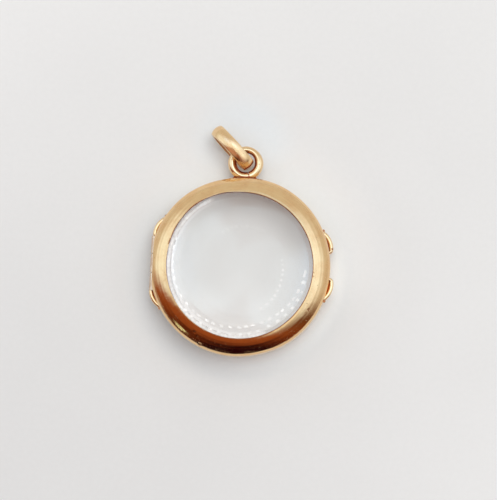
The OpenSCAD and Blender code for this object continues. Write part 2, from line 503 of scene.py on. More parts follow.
@dataclass(frozen=True)
class WornMetal:
    """The surface of worn polished metal: cloudy tone, fine grain, scratches and pits. Scales are per mm."""

    cloud_scale: float = 0.55
    cloud_detail: Pair = (4.0, 0.6)
    grain_detail: Pair = (4.0, 0.66)
    wave_scale: float = 0.8
    pit_scale: float = 1.5
    pit_edge: Pair = (0.06, 0.14)
    pitted: Pair = (0.52, 0.6)
    scratch_ways: tuple[Pair, ...] = ((0.62, 3.0), (-0.95, 17.0))
    scratch_size: Triple = (1.6, 0.085, 0.5)
    scratch_edge: Pair = (0.68, 0.78)
    scratched: Pair = (0.42, 0.62)

    def group(self) -> EffectGroup:
        """Makes the group that every gold finish places.

        Returns:
            The group, with the outputs Tone, Grain, Height and Pitting.
        """
        number = "NodeSocketFloat"
        inputs = {name: ("NodeSocketVector", (0.0, 0.0, 0.0)) for name in ("Place", "Grained place")}
        inputs |= {name: (number, 0.5) for name in ("Grain height", "Wave height", "Scratches", "Pits")}
        outputs = {name: number for name in ("Tone", "Grain", "Height", "Pitting")}
        group = EffectGroup("worn_metal", inputs, outputs)
        given = group.given
        place = given["Place"]
        cloud = group.noise(place, self.cloud_scale, *self.cloud_detail)
        grain = group.noise(given["Grained place"], 1.0, *self.grain_detail)
        wave = group.noise(place, self.wave_scale, 1.0)
        lines = []
        for turn, start in self.scratch_ways:
            laid = {
                "Vector": place,
                "Location": (start, 0.0, 0.0),
                "Rotation": (0.0, 0.0, turn),
                "Scale": self.scratch_size,
            }
            laid = group.add("ShaderNodeMapping", laid, vector_type="TEXTURE").outputs[0]
            lines.append(group.ramp(group.noise(laid, 1.0, 1.0), *self.scratch_edge))
        scratch = group.math("MULTIPLY", group.math("MAXIMUM", *lines), group.ramp(cloud, *self.scratched))
        spots = group.add("ShaderNodeTexVoronoi", {"Vector": place, "Scale": self.pit_scale}).outputs[0]
        pits = group.ramp(spots, *self.pit_edge, 1.0, 0.0)
        pits = group.math("MULTIPLY", pits, group.ramp(wave, *self.pitted))
        pits = group.math("MULTIPLY", pits, given["Pits"])
        height = group.math("MULTIPLY", grain, given["Grain height"])
        height = group.math("MULTIPLY_ADD", wave, given["Wave height"], height)
        height = group.math("SUBTRACT", height, group.math("MULTIPLY", scratch, given["Scratches"]))
        group.give(Tone=cloud, Grain=grain, Height=group.math("SUBTRACT", height, pits), Pitting=pits)
        return group


@dataclass(frozen=True)
class GoldFinish:
    """Worn rose gold, with its grain, tones, roughness, tarnish in its hollows and pits, and dark spots, some
    of which are painted shade.

    The spots fade out towards the parting plane, between the two heights of clean_wall in mm.
    """

    name: str
    grain: Grain = Grain.EVEN
    colour: Triple = (0.90, 0.63, 0.335)
    rosy: Triple = (0.86, 0.555, 0.28)
    rubbed: Triple = (0.96, 0.74, 0.46)
    # The colour of tarnish in hollows and pits, and of the dark spots, some of which paint shade.
    tarnish: Triple = (0.34, 0.10, 0.03)
    roughness: float = 0.13
    grain_height: float = 0.30
    wave_height: float = 0.9
    bump: float = 0.02
    heading: float = 0.0
    even_grain: Triple = (2.6, 2.6, 2.6)
    straight_grain: Triple = (2.2, 0.16, 0.9)
    round_grain: Pair = (2.2, 3.1)
    rosy_tone: Pair = (0.35, 0.7)
    grain_range: Pair = (0.2, 0.8)
    grain_shade: Pair = (0.96, 1.04)
    rough_tone: Pair = (0.3, 0.75)
    rough_share: Pair = (0.75, 1.5)
    edge_range: Pair = (0.3, 0.9)
    edge_polish: float = 0.4
    edge_wear: float = 0.35
    scratches: float = 0.3
    pits: float = 0.5
    hollow_range: Pair = (-0.25, -0.9)
    hollow_dirt: float = 0.8
    pit_dirt: float = 1.2
    dirt_roughness: float = 0.25
    strongest_spot: float = 0.95
    # Dark spots: each one's middle in plan, its radius and its soft edge in mm; some are painted shade.
    dark_spots: Spots = ()
    clean_wall: Pair = (-2.0, -1.0)

    def grained(self, sheet: NodeSheet, place: Socket) -> Socket:
        """Stretches a place in mm the way that the polishing marks run.

        Args:
            sheet: The material's node tree.
            place: The place in mm.

        Returns:
            The stretched place.
        """
        if self.grain is Grain.EVEN:
            return sheet.vector("MULTIPLY", place, self.even_grain)
        if self.grain is Grain.STRAIGHT:
            turn = (0.0, 0.0, math.radians(self.heading))
            turned = {"Vector": place, "Rotation": turn, "Scale": self.straight_grain}
            return sheet.add("ShaderNodeMapping", turned, vector_type="TEXTURE").outputs[0]
        x, y, z = sheet.split(place)
        round_scale, cross_scale = self.round_grain
        across = sheet.math("SUBTRACT", sheet.radius(x, y), sheet.aside(z, HALF_T))
        across = sheet.math("MULTIPLY", across, cross_scale)
        turn = sheet.vector("MULTIPLY", sheet.heading(x, y), (round_scale, round_scale, 0.0))
        return sheet.vector("ADD", turn, sheet.join(0.0, 0.0, across))

    def dirt_and_shade(self, sheet: NodeSheet, place: Socket, wear: Socket, pitting: Socket) -> Socket:
        """Works out each place's share of the tarnish colour: tarnish in hollows and pits, and dark spots,
        some of which are painted shade.

        Args:
            sheet: The material's node tree.
            place: The place in mm.
            wear: The piece's wear, which is negative in its inner corners.
            pitting: Where the pits are.

        Returns:
            The share of dirt.
        """
        hollow = sheet.math("MULTIPLY", sheet.ramp(wear, *self.hollow_range), self.hollow_dirt)
        dirt_and_shade = sheet.math("MAXIMUM", hollow, sheet.math("MULTIPLY", pitting, self.pit_dirt), clamp=True)
        x, y, z = sheet.split(place)
        most = sheet.ramp(sheet.aside(z, HALF_T), *self.clean_wall, 0.0, self.strongest_spot)
        # The dark spots; on the ring and the ears some of them are painted shade.
        for dark_x, dark_y, size, soft in self.dark_spots:
            away = sheet.measure("DISTANCE", sheet.join(x, y, 0.0), (dark_x, dark_y, 0.0))
            dirt_and_shade = sheet.math("MAXIMUM", dirt_and_shade, sheet.ramp(away, size, size + soft, most, 0.0))
        return dirt_and_shade

    def build(self, worn: EffectGroup) -> Dress:
        """Makes the material.

        Args:
            worn: The shared group of worn metal.

        Returns:
            The new material.
        """
        material, sheet = new_material(self.name)
        place = sheet.place_mm()
        values = {
            "Place": place,
            "Grained place": self.grained(sheet, place),
            "Grain height": self.grain_height,
            "Wave height": self.wave_height,
            "Scratches": self.scratches,
            "Pits": self.pits,
        }
        out = worn.place(sheet, values)
        wear = sheet.add("ShaderNodeAttribute", attribute_name="wear").outputs["Fac"]
        edge = sheet.ramp(wear, *self.edge_range)
        rosy = sheet.ramp(out["Tone"], *self.rosy_tone)
        colour = sheet.blend(rosy, (*self.colour, 1.0), (*self.rosy, 1.0))
        shade = sheet.ramp(out["Grain"], *self.grain_range, *self.grain_shade)
        colour = sheet.scale(colour, shade)
        colour = sheet.blend(sheet.math("MULTIPLY", edge, self.edge_wear), colour, (*self.rubbed, 1.0))
        dirt_and_shade = self.dirt_and_shade(sheet, place, wear, out["Pitting"])
        colour = sheet.blend(dirt_and_shade, colour, (*self.tarnish, 1.0))
        smooth, coarse = (self.roughness * share for share in self.rough_share)
        rough = sheet.ramp(out["Tone"], *self.rough_tone, smooth, coarse)
        rough = sheet.math("ADD", rough, sheet.math("MULTIPLY", dirt_and_shade, self.dirt_roughness))
        polish = sheet.math("MULTIPLY", edge, self.roughness * self.edge_polish)
        rough = sheet.math("SUBTRACT", rough, polish, clamp=True)
        bump = sheet.bump(1.0, self.bump, out["Height"])
        values = {"Base Color": colour, "Roughness": rough, "Metallic": 1.0, "Normal": bump}
        sheet.end(sheet.add("ShaderNodeBsdfPrincipled", values))
        return material


@dataclass(frozen=True)
class CrystalFinish:
    """Clear polished crystal with a worn ridge, which lets the lamps' light through to the paper."""

    name: str = "polished_crystal"
    ridge_r: float = 9.15
    ridge_band: float = 0.35
    ridge_roughness: float = 0.05
    coat_r: float = 5.6
    coat_fade: float = 2.2
    bare_azimuth: float = 65.0
    bare_edge: Pair = (0.5, 0.8)
    tint: Triple = (1.0, 1.0, 0.995)
    rim_tint: Triple = (1.0, 0.985, 0.98)
    rim_w: float = 1.5
    wipe_scale: float = 0.9
    wipe_detail: Pair = (3.0, 0.6)
    wiped: Pair = (0.45, 0.7)
    bump: float = 0.004
    bump_strength: float = 0.25
    index: float = 1.5

    def build(self) -> Dress:
        """Makes the material."""
        material, sheet = new_material(self.name)
        place = sheet.place_mm()
        x, y, _ = sheet.split(place)
        radius = sheet.radius(x, y)
        ridge = sheet.ramp(sheet.aside(radius, self.ridge_r), 0.0, self.ridge_band, 1.0, 0.0)
        coat = sheet.ramp(radius, self.coat_r - self.coat_fade, self.coat_r + self.coat_fade)
        bare = sheet.ramp(sheet.toward(x, y, self.bare_azimuth), *self.bare_edge, 1.0, 0.0)
        wipe = sheet.noise(place, self.wipe_scale, *self.wipe_detail)
        rim = sheet.ramp(radius, self.ridge_r, self.ridge_r + self.rim_w)
        rough = sheet.ramp(wipe, *self.wiped, 0.0, self.ridge_roughness)
        rough = sheet.math("MULTIPLY", ridge, rough)
        glass = sheet.add(
            "ShaderNodeBsdfPrincipled",
            {
                "Base Color": sheet.blend(rim, (*self.tint, 1.0), (*self.rim_tint, 1.0)),
                "Roughness": rough,
                "IOR": self.index,
                "Transmission Weight": 1.0,
                "Coat Weight": sheet.math("MULTIPLY", coat, bare),
                "Normal": sheet.bump(self.bump_strength, self.bump, wipe),
            },
        )
        clear = sheet.add("ShaderNodeBsdfTransparent")
        path = sheet.add("ShaderNodeLightPath").outputs
        lit = sheet.math("MAXIMUM", path["Is Shadow Ray"], path["Is Diffuse Ray"])
        sheet.end(sheet.add("ShaderNodeMixShader", {0: lit, 1: glass.outputs[0], 2: clear.outputs[0]}))
        return material


@dataclass(frozen=True)
class PaperFinish:
    """Plain pale paper with a faint fibre, with painted light: a little lighter away from its middle, and its
    tone tilted across its diagonals.

    Each halo is painted light thrown back by the gold: an azimuth, its strength, how far from the axis it
    reaches in mm, and where it starts round the case. The paper is painted cooler close to the gold, to take
    out the warm light that the gold throws on it.
    """

    name: str = "pale_paper"
    colour: Triple = (0.80, 0.80, 0.79)
    roughness: float = 0.85
    fibre_scale: float = 1.4
    fibre_detail: Pair = (4.0, 0.65)
    cloud_scale: float = 0.05
    uneven: float = 0.015
    uneven_range: Pair = (0.6, 1.4)
    # Painted light: the paper is lighter away from this middle, out to reach, and its tone tilts across the
    # diagonals.
    middle: Pair = (1.0, 2.4)
    reach: float = 31.0
    tone: float = 1.01
    bowl: float = 0.025
    bowl_most: float = 3.0
    twist: float = 0.029
    twist_most: float = 1.5
    bump: float = 0.02
    bump_strength: float = 0.3
    # Painted light round the case, one halo each.
    painted_halos: Spots = ((63.0, 0.11, 23.0, -0.1), (310.0, 0.25, 15.4, 0.2))
    halo_edge: float = 0.7
    # Painted colour: cooler near the gold and near the eyelet, to take out the warm light that the gold
    # throws on the paper.
    painted_cool: Triple = (0.79, 0.828, 0.845)
    painted_cool_reach: float = 5.5
    painted_cool_spot: Triple = (-0.8, 17.5, 3.5)

    def level(self, sheet: NodeSheet, place: Socket) -> Socket:
        """Works out how light the paper is from its broad tones alone, which are painted light: lighter away
        from its middle and tilted across its diagonals.

        Args:
            sheet: The material's node tree.
            place: The place in mm.

        Returns:
            The paper's lightness as a factor.
        """
        centred = sheet.vector("SUBTRACT", place, (*self.middle, 0.0))
        x, y, _ = sheet.split(sheet.vector("DIVIDE", centred, (self.reach,) * 3))
        square = sheet.math("ADD", sheet.math("MULTIPLY", x, x), sheet.math("MULTIPLY", y, y))
        square = sheet.math("MINIMUM", square, self.bowl_most)
        level = sheet.math("MULTIPLY_ADD", square, self.bowl, self.tone)
        cross = sheet.math("MAXIMUM", sheet.math("MULTIPLY", x, y), -self.twist_most)
        cross = sheet.math("MINIMUM", cross, self.twist_most)
        return sheet.math("SUBTRACT", level, sheet.math("MULTIPLY", cross, self.twist))

    def build(self) -> Dress:
        """Makes the material."""
        material, sheet = new_material(self.name)
        place = sheet.place_mm()
        fibre = sheet.noise(place, self.fibre_scale, *self.fibre_detail)
        cloud = sheet.noise(place, self.cloud_scale, 2.0)
        tone = sheet.math("ADD", fibre, cloud)
        tone = sheet.ramp(tone, *self.uneven_range, 1.0 - self.uneven, 1.0 + self.uneven)
        level = self.level(sheet, place)
        x, y, _ = sheet.split(place)
        radius = sheet.radius(x, y)
        outside = sheet.ramp(radius, CASE_R - 1, CASE_R)
        # Painted light: each halo lightens the paper outside the case.
        for azimuth, light, reach, edge in self.painted_halos:
            there = sheet.ramp(sheet.toward(x, y, azimuth), edge, edge + self.halo_edge)
            halo = sheet.math("MULTIPLY", sheet.ramp(radius, CASE_R, reach, light, 0.0), there)
            level = sheet.math("MULTIPLY_ADD", halo, outside, level)
        tone = sheet.math("MULTIPLY", tone, level)
        # Painted cooling of the paper near the gold and near the eyelet.
        spot_x, spot_y, spot_r = self.painted_cool_spot
        away = sheet.measure("DISTANCE", sheet.join(x, y, 0.0), (spot_x, spot_y, 0.0))
        away = sheet.math("SUBTRACT", away, spot_r)
        away = sheet.math("MINIMUM", away, sheet.math("SUBTRACT", radius, CASE_R))
        painted_cooling = sheet.math("MULTIPLY", sheet.ramp(away, 0.0, self.painted_cool_reach, 1.0, 0.0), outside)
        colour = sheet.scale(sheet.blend(painted_cooling, (*self.colour, 1.0), (*self.painted_cool, 1.0)), tone)
        bump = sheet.bump(self.bump_strength, self.bump, fibre)
        values = {"Base Color": colour, "Roughness": self.roughness, "Normal": bump}
        sheet.end(sheet.add("ShaderNodeBsdfPrincipled", values))
        return material


@dataclass
class Mark:
    """A dent, or a burr where its depth is negative, pressed along the surface's normal. Sizes are in mm."""

    azimuth: float
    radius: float
    height: float
    size: float
    depth: float

    def place(self) -> Triple:
        """The mark's middle in metres."""
        x, y = polar_spot(self.azimuth, self.radius)
        return (x * MM, y * MM, self.height * MM)


@dataclass(frozen=True)
class Flat:
    """A wide stretch where the bezel is out of round, fully so at the far distance from the axis."""

    azimuth: float
    half_width: float
    depth: float
    near: float
    far: float


@dataclass
class Bezels:
    """The two turned bezels: a crown that falls from the lip to a round shoulder and a short band."""

    lip_r: float = 10.1
    lip_round: float = 0.06
    lip_slope: float = 12.0
    crown_r: float = 5.05
    crown_a: float = 30.0
    joint_a: float = 45.8
    shoulder_r: float = 0.98
    ripples: tuple[Pair, ...] = ((0.55, 0.0036), (0.37, 0.0018))
    parting_gap: float = 0.05
    parting_round: float = 0.05
    groove_r: float = 10.59
    groove_top: float = 2.43
    inside_z: float = 2.06
    lip_under: float = 2.57
    seat_r: float = 10.25
    seat_h: float = 0.35
    cavity_r: float = 10.75
    collar_t: float = 0.43
    collar_h: float = 0.75
    collar_gap: float = 0.07
    recess_room: float = 0.1
    hinge_x: float = -12.07
    tube_cut_r: float = 0.51
    tube_l: float = 7.6
    knuckle_gap: float = 0.1
    segments: int = 512
    path_r: float = 10.0
    lip_steps: int = 5
    crown_steps: int = 16
    round_steps: int = 18
    wall_rows: int = 6
    parting_steps: int = 3
    hinge_flat_w: float = 7.8
    hinge_flat_h: float = 8.0
    groove_sides: int = 48
    flats: tuple[Flat, ...] = (
        Flat(100.0, 37.0, 0.18, 10.7, 12.5),
        Flat(284.0, 22.0, 0.08, 10.7, 12.5),
        Flat(130.0, 50.0, -0.27, 11.0, 10.15),
    )
    front_marks: list[Mark] = field(default_factory=lambda: [
        Mark(238.6, 11.14, 6.55, 0.30, 0.06),
        Mark(242.0, 11.50, 6.32, 0.30, 0.04),
        Mark(245.6, 12.08, 5.70, 0.34, 0.05),
        Mark(329.8, 11.28, 6.45, 0.24, 0.03),
        Mark(355.5, 10.16, 6.90, 0.34, -0.03),
    ])
    back_marks: list[Mark] = field(default_factory=lambda: [
        Mark(300.0, 11.6, 0.62, 0.45, 0.05),
        Mark(70.0, 11.2, 0.40, 0.40, 0.05),
    ])

    def outline(self, half: Half) -> Points:
        """The section of one half as radius and height over the parting plane.

        Args:
            half: Which half to draw.

        Returns:
            A closed outline whose height is positive for both halves, with the back's collar below zero.
        """
        joint = math.radians(self.joint_a)
        steep = math.radians(self.crown_a)
        shoulder_c = CASE_R - self.shoulder_r
        crown_c = shoulder_c + (self.shoulder_r - self.crown_r) * math.sin(joint)
        start = crown_c + self.crown_r * math.sin(steep)
        lip_top = (self.lip_r + self.lip_round, HALF_T)
        slope = math.tan(math.radians((self.lip_slope + self.crown_a) / 2))
        crown_z = HALF_T - (start - lip_top[0]) * slope - self.crown_r * math.cos(steep)
        shoulder_z = crown_z + (self.crown_r - self.shoulder_r) * math.cos(joint)
        low = self.parting_gap / 2
        crown = arc((crown_c, crown_z), self.crown_r, self.crown_a, self.joint_a, self.round_steps)
        points = arc((lip_top[0], HALF_T - self.lip_round), self.lip_round, -90, 0, self.lip_steps)
        for r, z in eased(lip_top, self.lip_slope, crown[0], self.crown_a, self.crown_steps) + crown:
            ripple = sum(rise * math.sin(2 * math.pi * r / wave) for wave, rise in self.ripples)
            points.append((r, z + ripple))
        points += arc((shoulder_c, shoulder_z), self.shoulder_r, self.joint_a, 90, self.round_steps)[1:]
        rows = self.wall_rows
        floor = low + self.parting_round
        points += [(CASE_R, shoulder_z + (floor - shoulder_z) * i / rows) for i in range(1, rows)]
        points += arc((CASE_R - self.parting_round, floor), self.parting_round, 90, 180, self.parting_steps)
        if half is Half.FRONT:
            recess = self.cavity_r + self.collar_t + self.collar_gap
            top = self.collar_h + self.recess_room
            points += [(recess, low), (recess, top), (self.cavity_r, top)]
        else:
            collar = self.cavity_r + self.collar_t
            points += [(collar, low), (collar, -self.collar_h), (self.cavity_r, -self.collar_h)]
        under = self.inside_z - self.seat_h
        points += [(self.cavity_r, under), (self.seat_r, under), (self.seat_r, self.inside_z)]
        points += [(self.groove_r, self.inside_z), (self.groove_r, self.groove_top)]
        return points + [(self.lip_r, self.lip_under)]

    def build(self, half: Half, dress: Dress) -> Piece:
        """Turns one bezel, presses its dents and cuts the hinge's flat and grooves.

        Args:
            half: Which bezel to make.
            dress: Its material.

        Returns:
            The finished mesh object.
        """
        marks = self.front_marks if half is Half.FRONT else self.back_marks
        sizes: dict[str, Value] = {
            "Segments": self.segments,
            "Path radius": self.path_r * MM,
            "Parting height": HALF_T * MM,
            "Hinge X": self.hinge_x * MM,
            "Case radius": CASE_R * MM,
            "Groove radius": self.tube_cut_r * MM,
        }
        for number, flat in enumerate(self.flats, 1):
            sizes[f"Flat {number} azimuth"] = math.radians(flat.azimuth)
            sizes[f"Flat {number} half width"] = math.radians(flat.half_width)
            sizes[f"Flat {number} depth"] = flat.depth * MM
            sizes[f"Flat {number} near"] = flat.near * MM
            sizes[f"Flat {number} far"] = flat.far * MM
        for number, mark in enumerate(marks, 1):
            sizes[f"Mark {number} place"] = mark.place()
            sizes[f"Mark {number} size"] = mark.size * MM
            sizes[f"Mark {number} depth"] = mark.depth * MM
        tree = ShapeTree(f"turned_bezel_{half.name.lower()}", sizes)
        given = tree.given
        ring = tree.turned(given["Path radius"], given["Segments"])
        ring = tree.move(ring, tree.join(0.0, 0.0, given["Parting height"]))
        for number in range(1, len(marks) + 1):
            ring = self.press(tree, ring, number)
        for number in range(1, len(self.flats) + 1):
            ring = self.flatten(tree, ring, number)
        size = tree.join(given["Case radius"], self.hinge_flat_w * MM, self.hinge_flat_h * MM)
        flat = tree.add("GeometryNodeMeshCube", {"Size": size}).outputs[0]
        left = tree.math("SUBTRACT", given["Hinge X"], tree.math("MULTIPLY", given["Case radius"], 0.5))
        ring = tree.cut(ring, tree.move(flat, tree.join(left, 0.0, given["Parting height"])))
        for middle, length in self.grooves(half):
            rod = tree.rod(given["Groove radius"], length * MM, self.groove_sides)
            spot = tree.join(given["Hinge X"], middle * MM, given["Parting height"])
            ring = tree.cut(ring, tree.move(rod, spot, (math.pi / 2, 0.0, 0.0)))
        drawn = chain(((r - self.path_r, -half.value * z) for r, z in self.outline(half)), True)
        return finish_mesh(tree.make(ring, f"{half.name.lower()}_bezel", drawn, dress))

    def press(self, tree: ShapeTree, ring: Socket, number: int) -> Socket:
        """Presses one mark into the ring along its normals, with a soft edge.

        Args:
            tree: The bezel's tree.
            ring: The ring so far.
            number: The mark's number in the tree's inputs.

        Returns:
            The ring with the mark in it.
        """
        place, size, depth = (tree.given[f"Mark {number} {label}"] for label in ("place", "size", "depth"))
        away = tree.measure("DISTANCE", tree.at(), place)
        share = tree.ramp(away, 0.0, size, tree.math("MULTIPLY", depth, -1.0), 0.0)
        return tree.shift(ring, tree.scale(tree.add("GeometryNodeInputNormal").outputs[0], share))

    def flatten(self, tree: ShapeTree, ring: Socket, number: int) -> Socket:
        """Moves the outer wall or the lip in or out over a wide stretch, where it is a little out of round.

        Args:
            tree: The bezel's tree.
            ring: The ring so far.
            number: The flat's number in the tree's inputs.

        Returns:
            The flattened ring.
        """
        labels = ("azimuth", "half width", "depth", "near", "far")
        azimuth, half_width, depth, near, far = (tree.given[f"Flat {number} {label}"] for label in labels)
        x, y, _ = tree.split(tree.at())
        turn = tree.math("SUBTRACT", tree.math("ARCTAN2", y, x), azimuth)
        turn = tree.math("ARCCOSINE", tree.math("COSINE", turn))
        share = tree.ramp(turn, 0.0, half_width, 1.0, 0.0)
        share = tree.math("MULTIPLY", share, tree.ramp(tree.radius(x, y), near, far))
        inwards = tree.math("MULTIPLY", share, tree.math("MULTIPLY", depth, -1.0))
        return tree.shift(ring, tree.scale(tree.heading(x, y), inwards))

    def knuckles(self) -> Pair:
        """The lengths in mm of the middle knuckle and of each end one."""
        middle = self.tube_l / 3
        return (middle, (self.tube_l - middle) / 2 - self.knuckle_gap)

    def grooves(self, half: Half) -> list[Pair]:
        """The middle and length, in mm along Y, of the grooves for the other half's knuckles."""
        middle, end = self.knuckles()
        if half is Half.BACK:
            return [(0.0, middle + self.knuckle_gap)]
        off = (self.tube_l - end) / 2
        return [(side * off, end + self.knuckle_gap) for side in (-1, 1)]


@dataclass
class Hinge:
    """The three knuckles of the hinge tube, with a chamfer at each end and the pin's bore."""

    bezels: Bezels
    tube_r: float = 0.45
    bore_r: float = 0.26
    chamfer: float = 0.05
    segments: int = 72

    def section(self, length: float) -> Points:
        """The wall of a knuckle as its distance from the path and its place along the tube."""
        end = length / 2
        c = self.chamfer
        return [
            (self.bore_r, -end), (self.tube_r - c, -end), (self.tube_r, -end + c), (self.tube_r, 0.0),
            (self.tube_r, end - c), (self.tube_r - c, end), (self.bore_r, end),
        ]

    def build(self, half: Half, dress: Dress) -> Piece:
        """Makes the knuckles that are soldered to one half.

        Args:
            half: The half that carries them.
            dress: Their material.

        Returns:
            The finished mesh object.
        """
        middle, end = self.bezels.knuckles()
        if half is Half.FRONT:
            name, length, count, first = "front_knuckle", middle, 1, 0.0
        else:
            name, length, count, first = "back_knuckles", end, 2, -(self.bezels.tube_l - end) / 2
        sizes: dict[str, Value] = {
            "Hinge X": self.bezels.hinge_x * MM,
            "Parting height": HALF_T * MM,
            "First middle": first * MM,
            "Spacing": -2 * first * MM,
            "Count": count,
        }
        tree = ShapeTree(f"knuckles_{half.name.lower()}", sizes)
        given = tree.given
        tube = tree.turned(self.tube_r * MM, self.segments)
        tube = tree.move(tube, (0.0, 0.0, 0.0), (math.pi / 2, 0.0, 0.0))
        start = tree.join(given["Hinge X"], given["First middle"], given["Parting height"])
        step = tree.join(0.0, given["Spacing"], 0.0)
        line = {"Count": given["Count"], "Start Location": start, "Offset": step}
        spots = tree.add("GeometryNodeMeshLine", line).outputs[0]
        row = tree.add("GeometryNodeInstanceOnPoints", {"Points": spots, "Instance": tube}).outputs[0]
        drawn = chain(((r - self.tube_r, y) for r, y in self.section(length)), True)
        return finish_mesh(tree.make(row, name, drawn, dress))


@dataclass(frozen=True)
class Ear:
    """One thumb ear: where it stands and which way its square end faces."""

    azimuth: float
    square_side: int
    half: Half

    def turn(self) -> Triple:
        """The ear's turn in radians. Half a turn about X swaps its square end and its curl."""
        return (math.pi if self.square_side < 0 else 0.0, 0.0, math.radians(self.azimuth))


@dataclass
class ThumbEars:
    """The bent strips on the case's side, closed square at one end and curled at the other."""

    reach: float = 0.72
    thickness: float = 0.56
    height: float = 1.45
    arc_r: float = 2.9
    arc_steps: int = 22
    square_a: float = 6.0
    square_in: float = 0.95
    square_corner: float = 0.16
    curl_a: float = 9.0
    curl_in: float = 0.6
    curl_r: float = 0.2
    curl_sides: int = 32
    root: float = 0.3
    lift: float = 0.05
    edge_round: float = 0.25
    edge_steps: int = 7
    solder_w: float = 0.75
    solder_drop: float = 0.3
    ears: tuple[Ear, ...] = (
        Ear(157.0, 1, Half.BACK),
        Ear(200.6, -1, Half.BACK),
        Ear(17.3, -1, Half.BACK),
        Ear(-10.9, 1, Half.FRONT),
    )

    def path(self) -> Points:
        """The middle line of the strip in plan, from the foot of its square end to its curl."""
        middle = CASE_R + self.reach - self.arc_r
        line_r = self.arc_r - self.thickness / 2
        top = self.meet(middle, line_r, self.square_a - self.square_in)
        low = self.meet(middle, line_r, -self.curl_a + self.curl_in)
        first = math.degrees(math.atan2(top[1], top[0] - middle))
        last = math.degrees(math.atan2(low[1], low[0] - middle))
        corner = self.square_corner
        turn = math.atan2(top[1], top[0])
        inward = (math.cos(turn), math.sin(turn))
        foot = (CASE_R - self.root) / math.hypot(*top)
        points = [(top[0] * foot, top[1] * foot)]
        points.append((top[0] - inward[0] * corner, top[1] - inward[1] * corner))
        step = math.degrees(corner / line_r)
        sweep = first - step - last
        for i in range(self.arc_steps + 1):
            a = math.radians(first - step - sweep * i / self.arc_steps)
            points.append((middle + line_r * math.cos(a), line_r * math.sin(a)))
        return points

    def meet(self, middle: float, line_r: float, azimuth: float) -> Pair:
        """Where a ray from the case's axis meets the strip's arc.

        Args:
            middle: The distance of the arc's centre from the axis.
            line_r: The arc's radius.
            azimuth: The ray's angle in degrees.

        Returns:
            The point in plan.
        """
        a = math.radians(azimuth)
        along = middle * math.cos(a)
        out = along + math.sqrt(along * along - middle * middle + line_r * line_r)
        return (out * math.cos(a), out * math.sin(a))

    def turns(self, half: Half) -> dict[str, Value]:
        """The turn of each ear of one half, by the name of its input."""
        mine = [ear for ear in self.ears if ear.half is half]
        return {f"Ear {number} turn": ear.turn() for number, ear in enumerate(mine, 1)}

    def set_round(self, tree: ShapeTree, shape: Socket, half: Half) -> Socket:
        """Copies a shape to the place of each ear of one half.

        Args:
            tree: The tree, which has the ears' turns as inputs.
            shape: The shape in plan at azimuth 0, level with the paper.
            half: The half that carries the ears.

        Returns:
            All the copies.
        """
        rise = HALF_T + half.value * (self.lift + self.height / 2)
        place = (0.0, 0.0, rise * MM)
        return tree.gather([tree.move(shape, place, tree.given[label]) for label in self.turns(half)])

    def solder(self, half: Half, dress: Dress) -> Piece:
        """Makes the solder between the ears of one half and the case, a little lower than their edges.

        Args:
            half: The half that carries them.
            dress: Its material.

        Returns:
            The finished mesh object.
        """
        sizes: dict[str, Value] = {
            "Solder width": self.solder_w * MM,
            "Solder height": (self.height - 2 * self.solder_drop) * MM,
        }
        tree = ShapeTree(f"ear_solder_{half.name.lower()}", sizes | self.turns(half))
        given = tree.given
        inward = tree.math("MULTIPLY", given["Solder width"], 0.5)
        section = tree.box(given["Solder width"], given["Solder height"])
        section = tree.move(section, tree.join(inward, 0.0, 0.0))
        fill = self.set_round(tree, tree.sweep(tree.curve(given[0]), section, True), half)
        drawn = chain(self.path()[1:], False)
        return finish_mesh(tree.make(fill, f"{half.name.lower()}_ear_solder", drawn, dress))

    def build(self, half: Half, dress: Dress) -> Piece:
        """Makes the ears of one half: a strip swept along its path, with a curl, copied to each place.

        Args:
            half: The half that carries them.
            dress: Their material.

        Returns:
            The finished mesh object.
        """
        sizes: dict[str, Value] = {
            "Strip thickness": self.thickness * MM,
            "Strip height": self.height * MM,
            "Edge round": self.edge_round * MM,
            "Curl radius": self.curl_r * MM,
        }
        tree = ShapeTree(f"thumb_ears_{half.name.lower()}", sizes | self.turns(half))
        given = tree.given
        section = tree.box(given["Strip thickness"], given["Strip height"])
        section = tree.rounded(section, given["Edge round"], self.edge_steps)
        strip = tree.sweep(tree.curve(given[0]), section, True)
        x, y = polar_spot(-self.curl_a, CASE_R + self.curl_r / 2)
        curl = tree.rod(given["Curl radius"], given["Strip height"], self.curl_sides)
        curl = tree.move(curl, (x * MM, y * MM, 0.0))
        ears = self.set_round(tree, tree.fuse([strip, curl]), half)
        name = "front_thumb_ear" if half is Half.FRONT else "back_thumb_ears"
        return finish_mesh(tree.make(ears, name, chain(self.path(), False), dress))


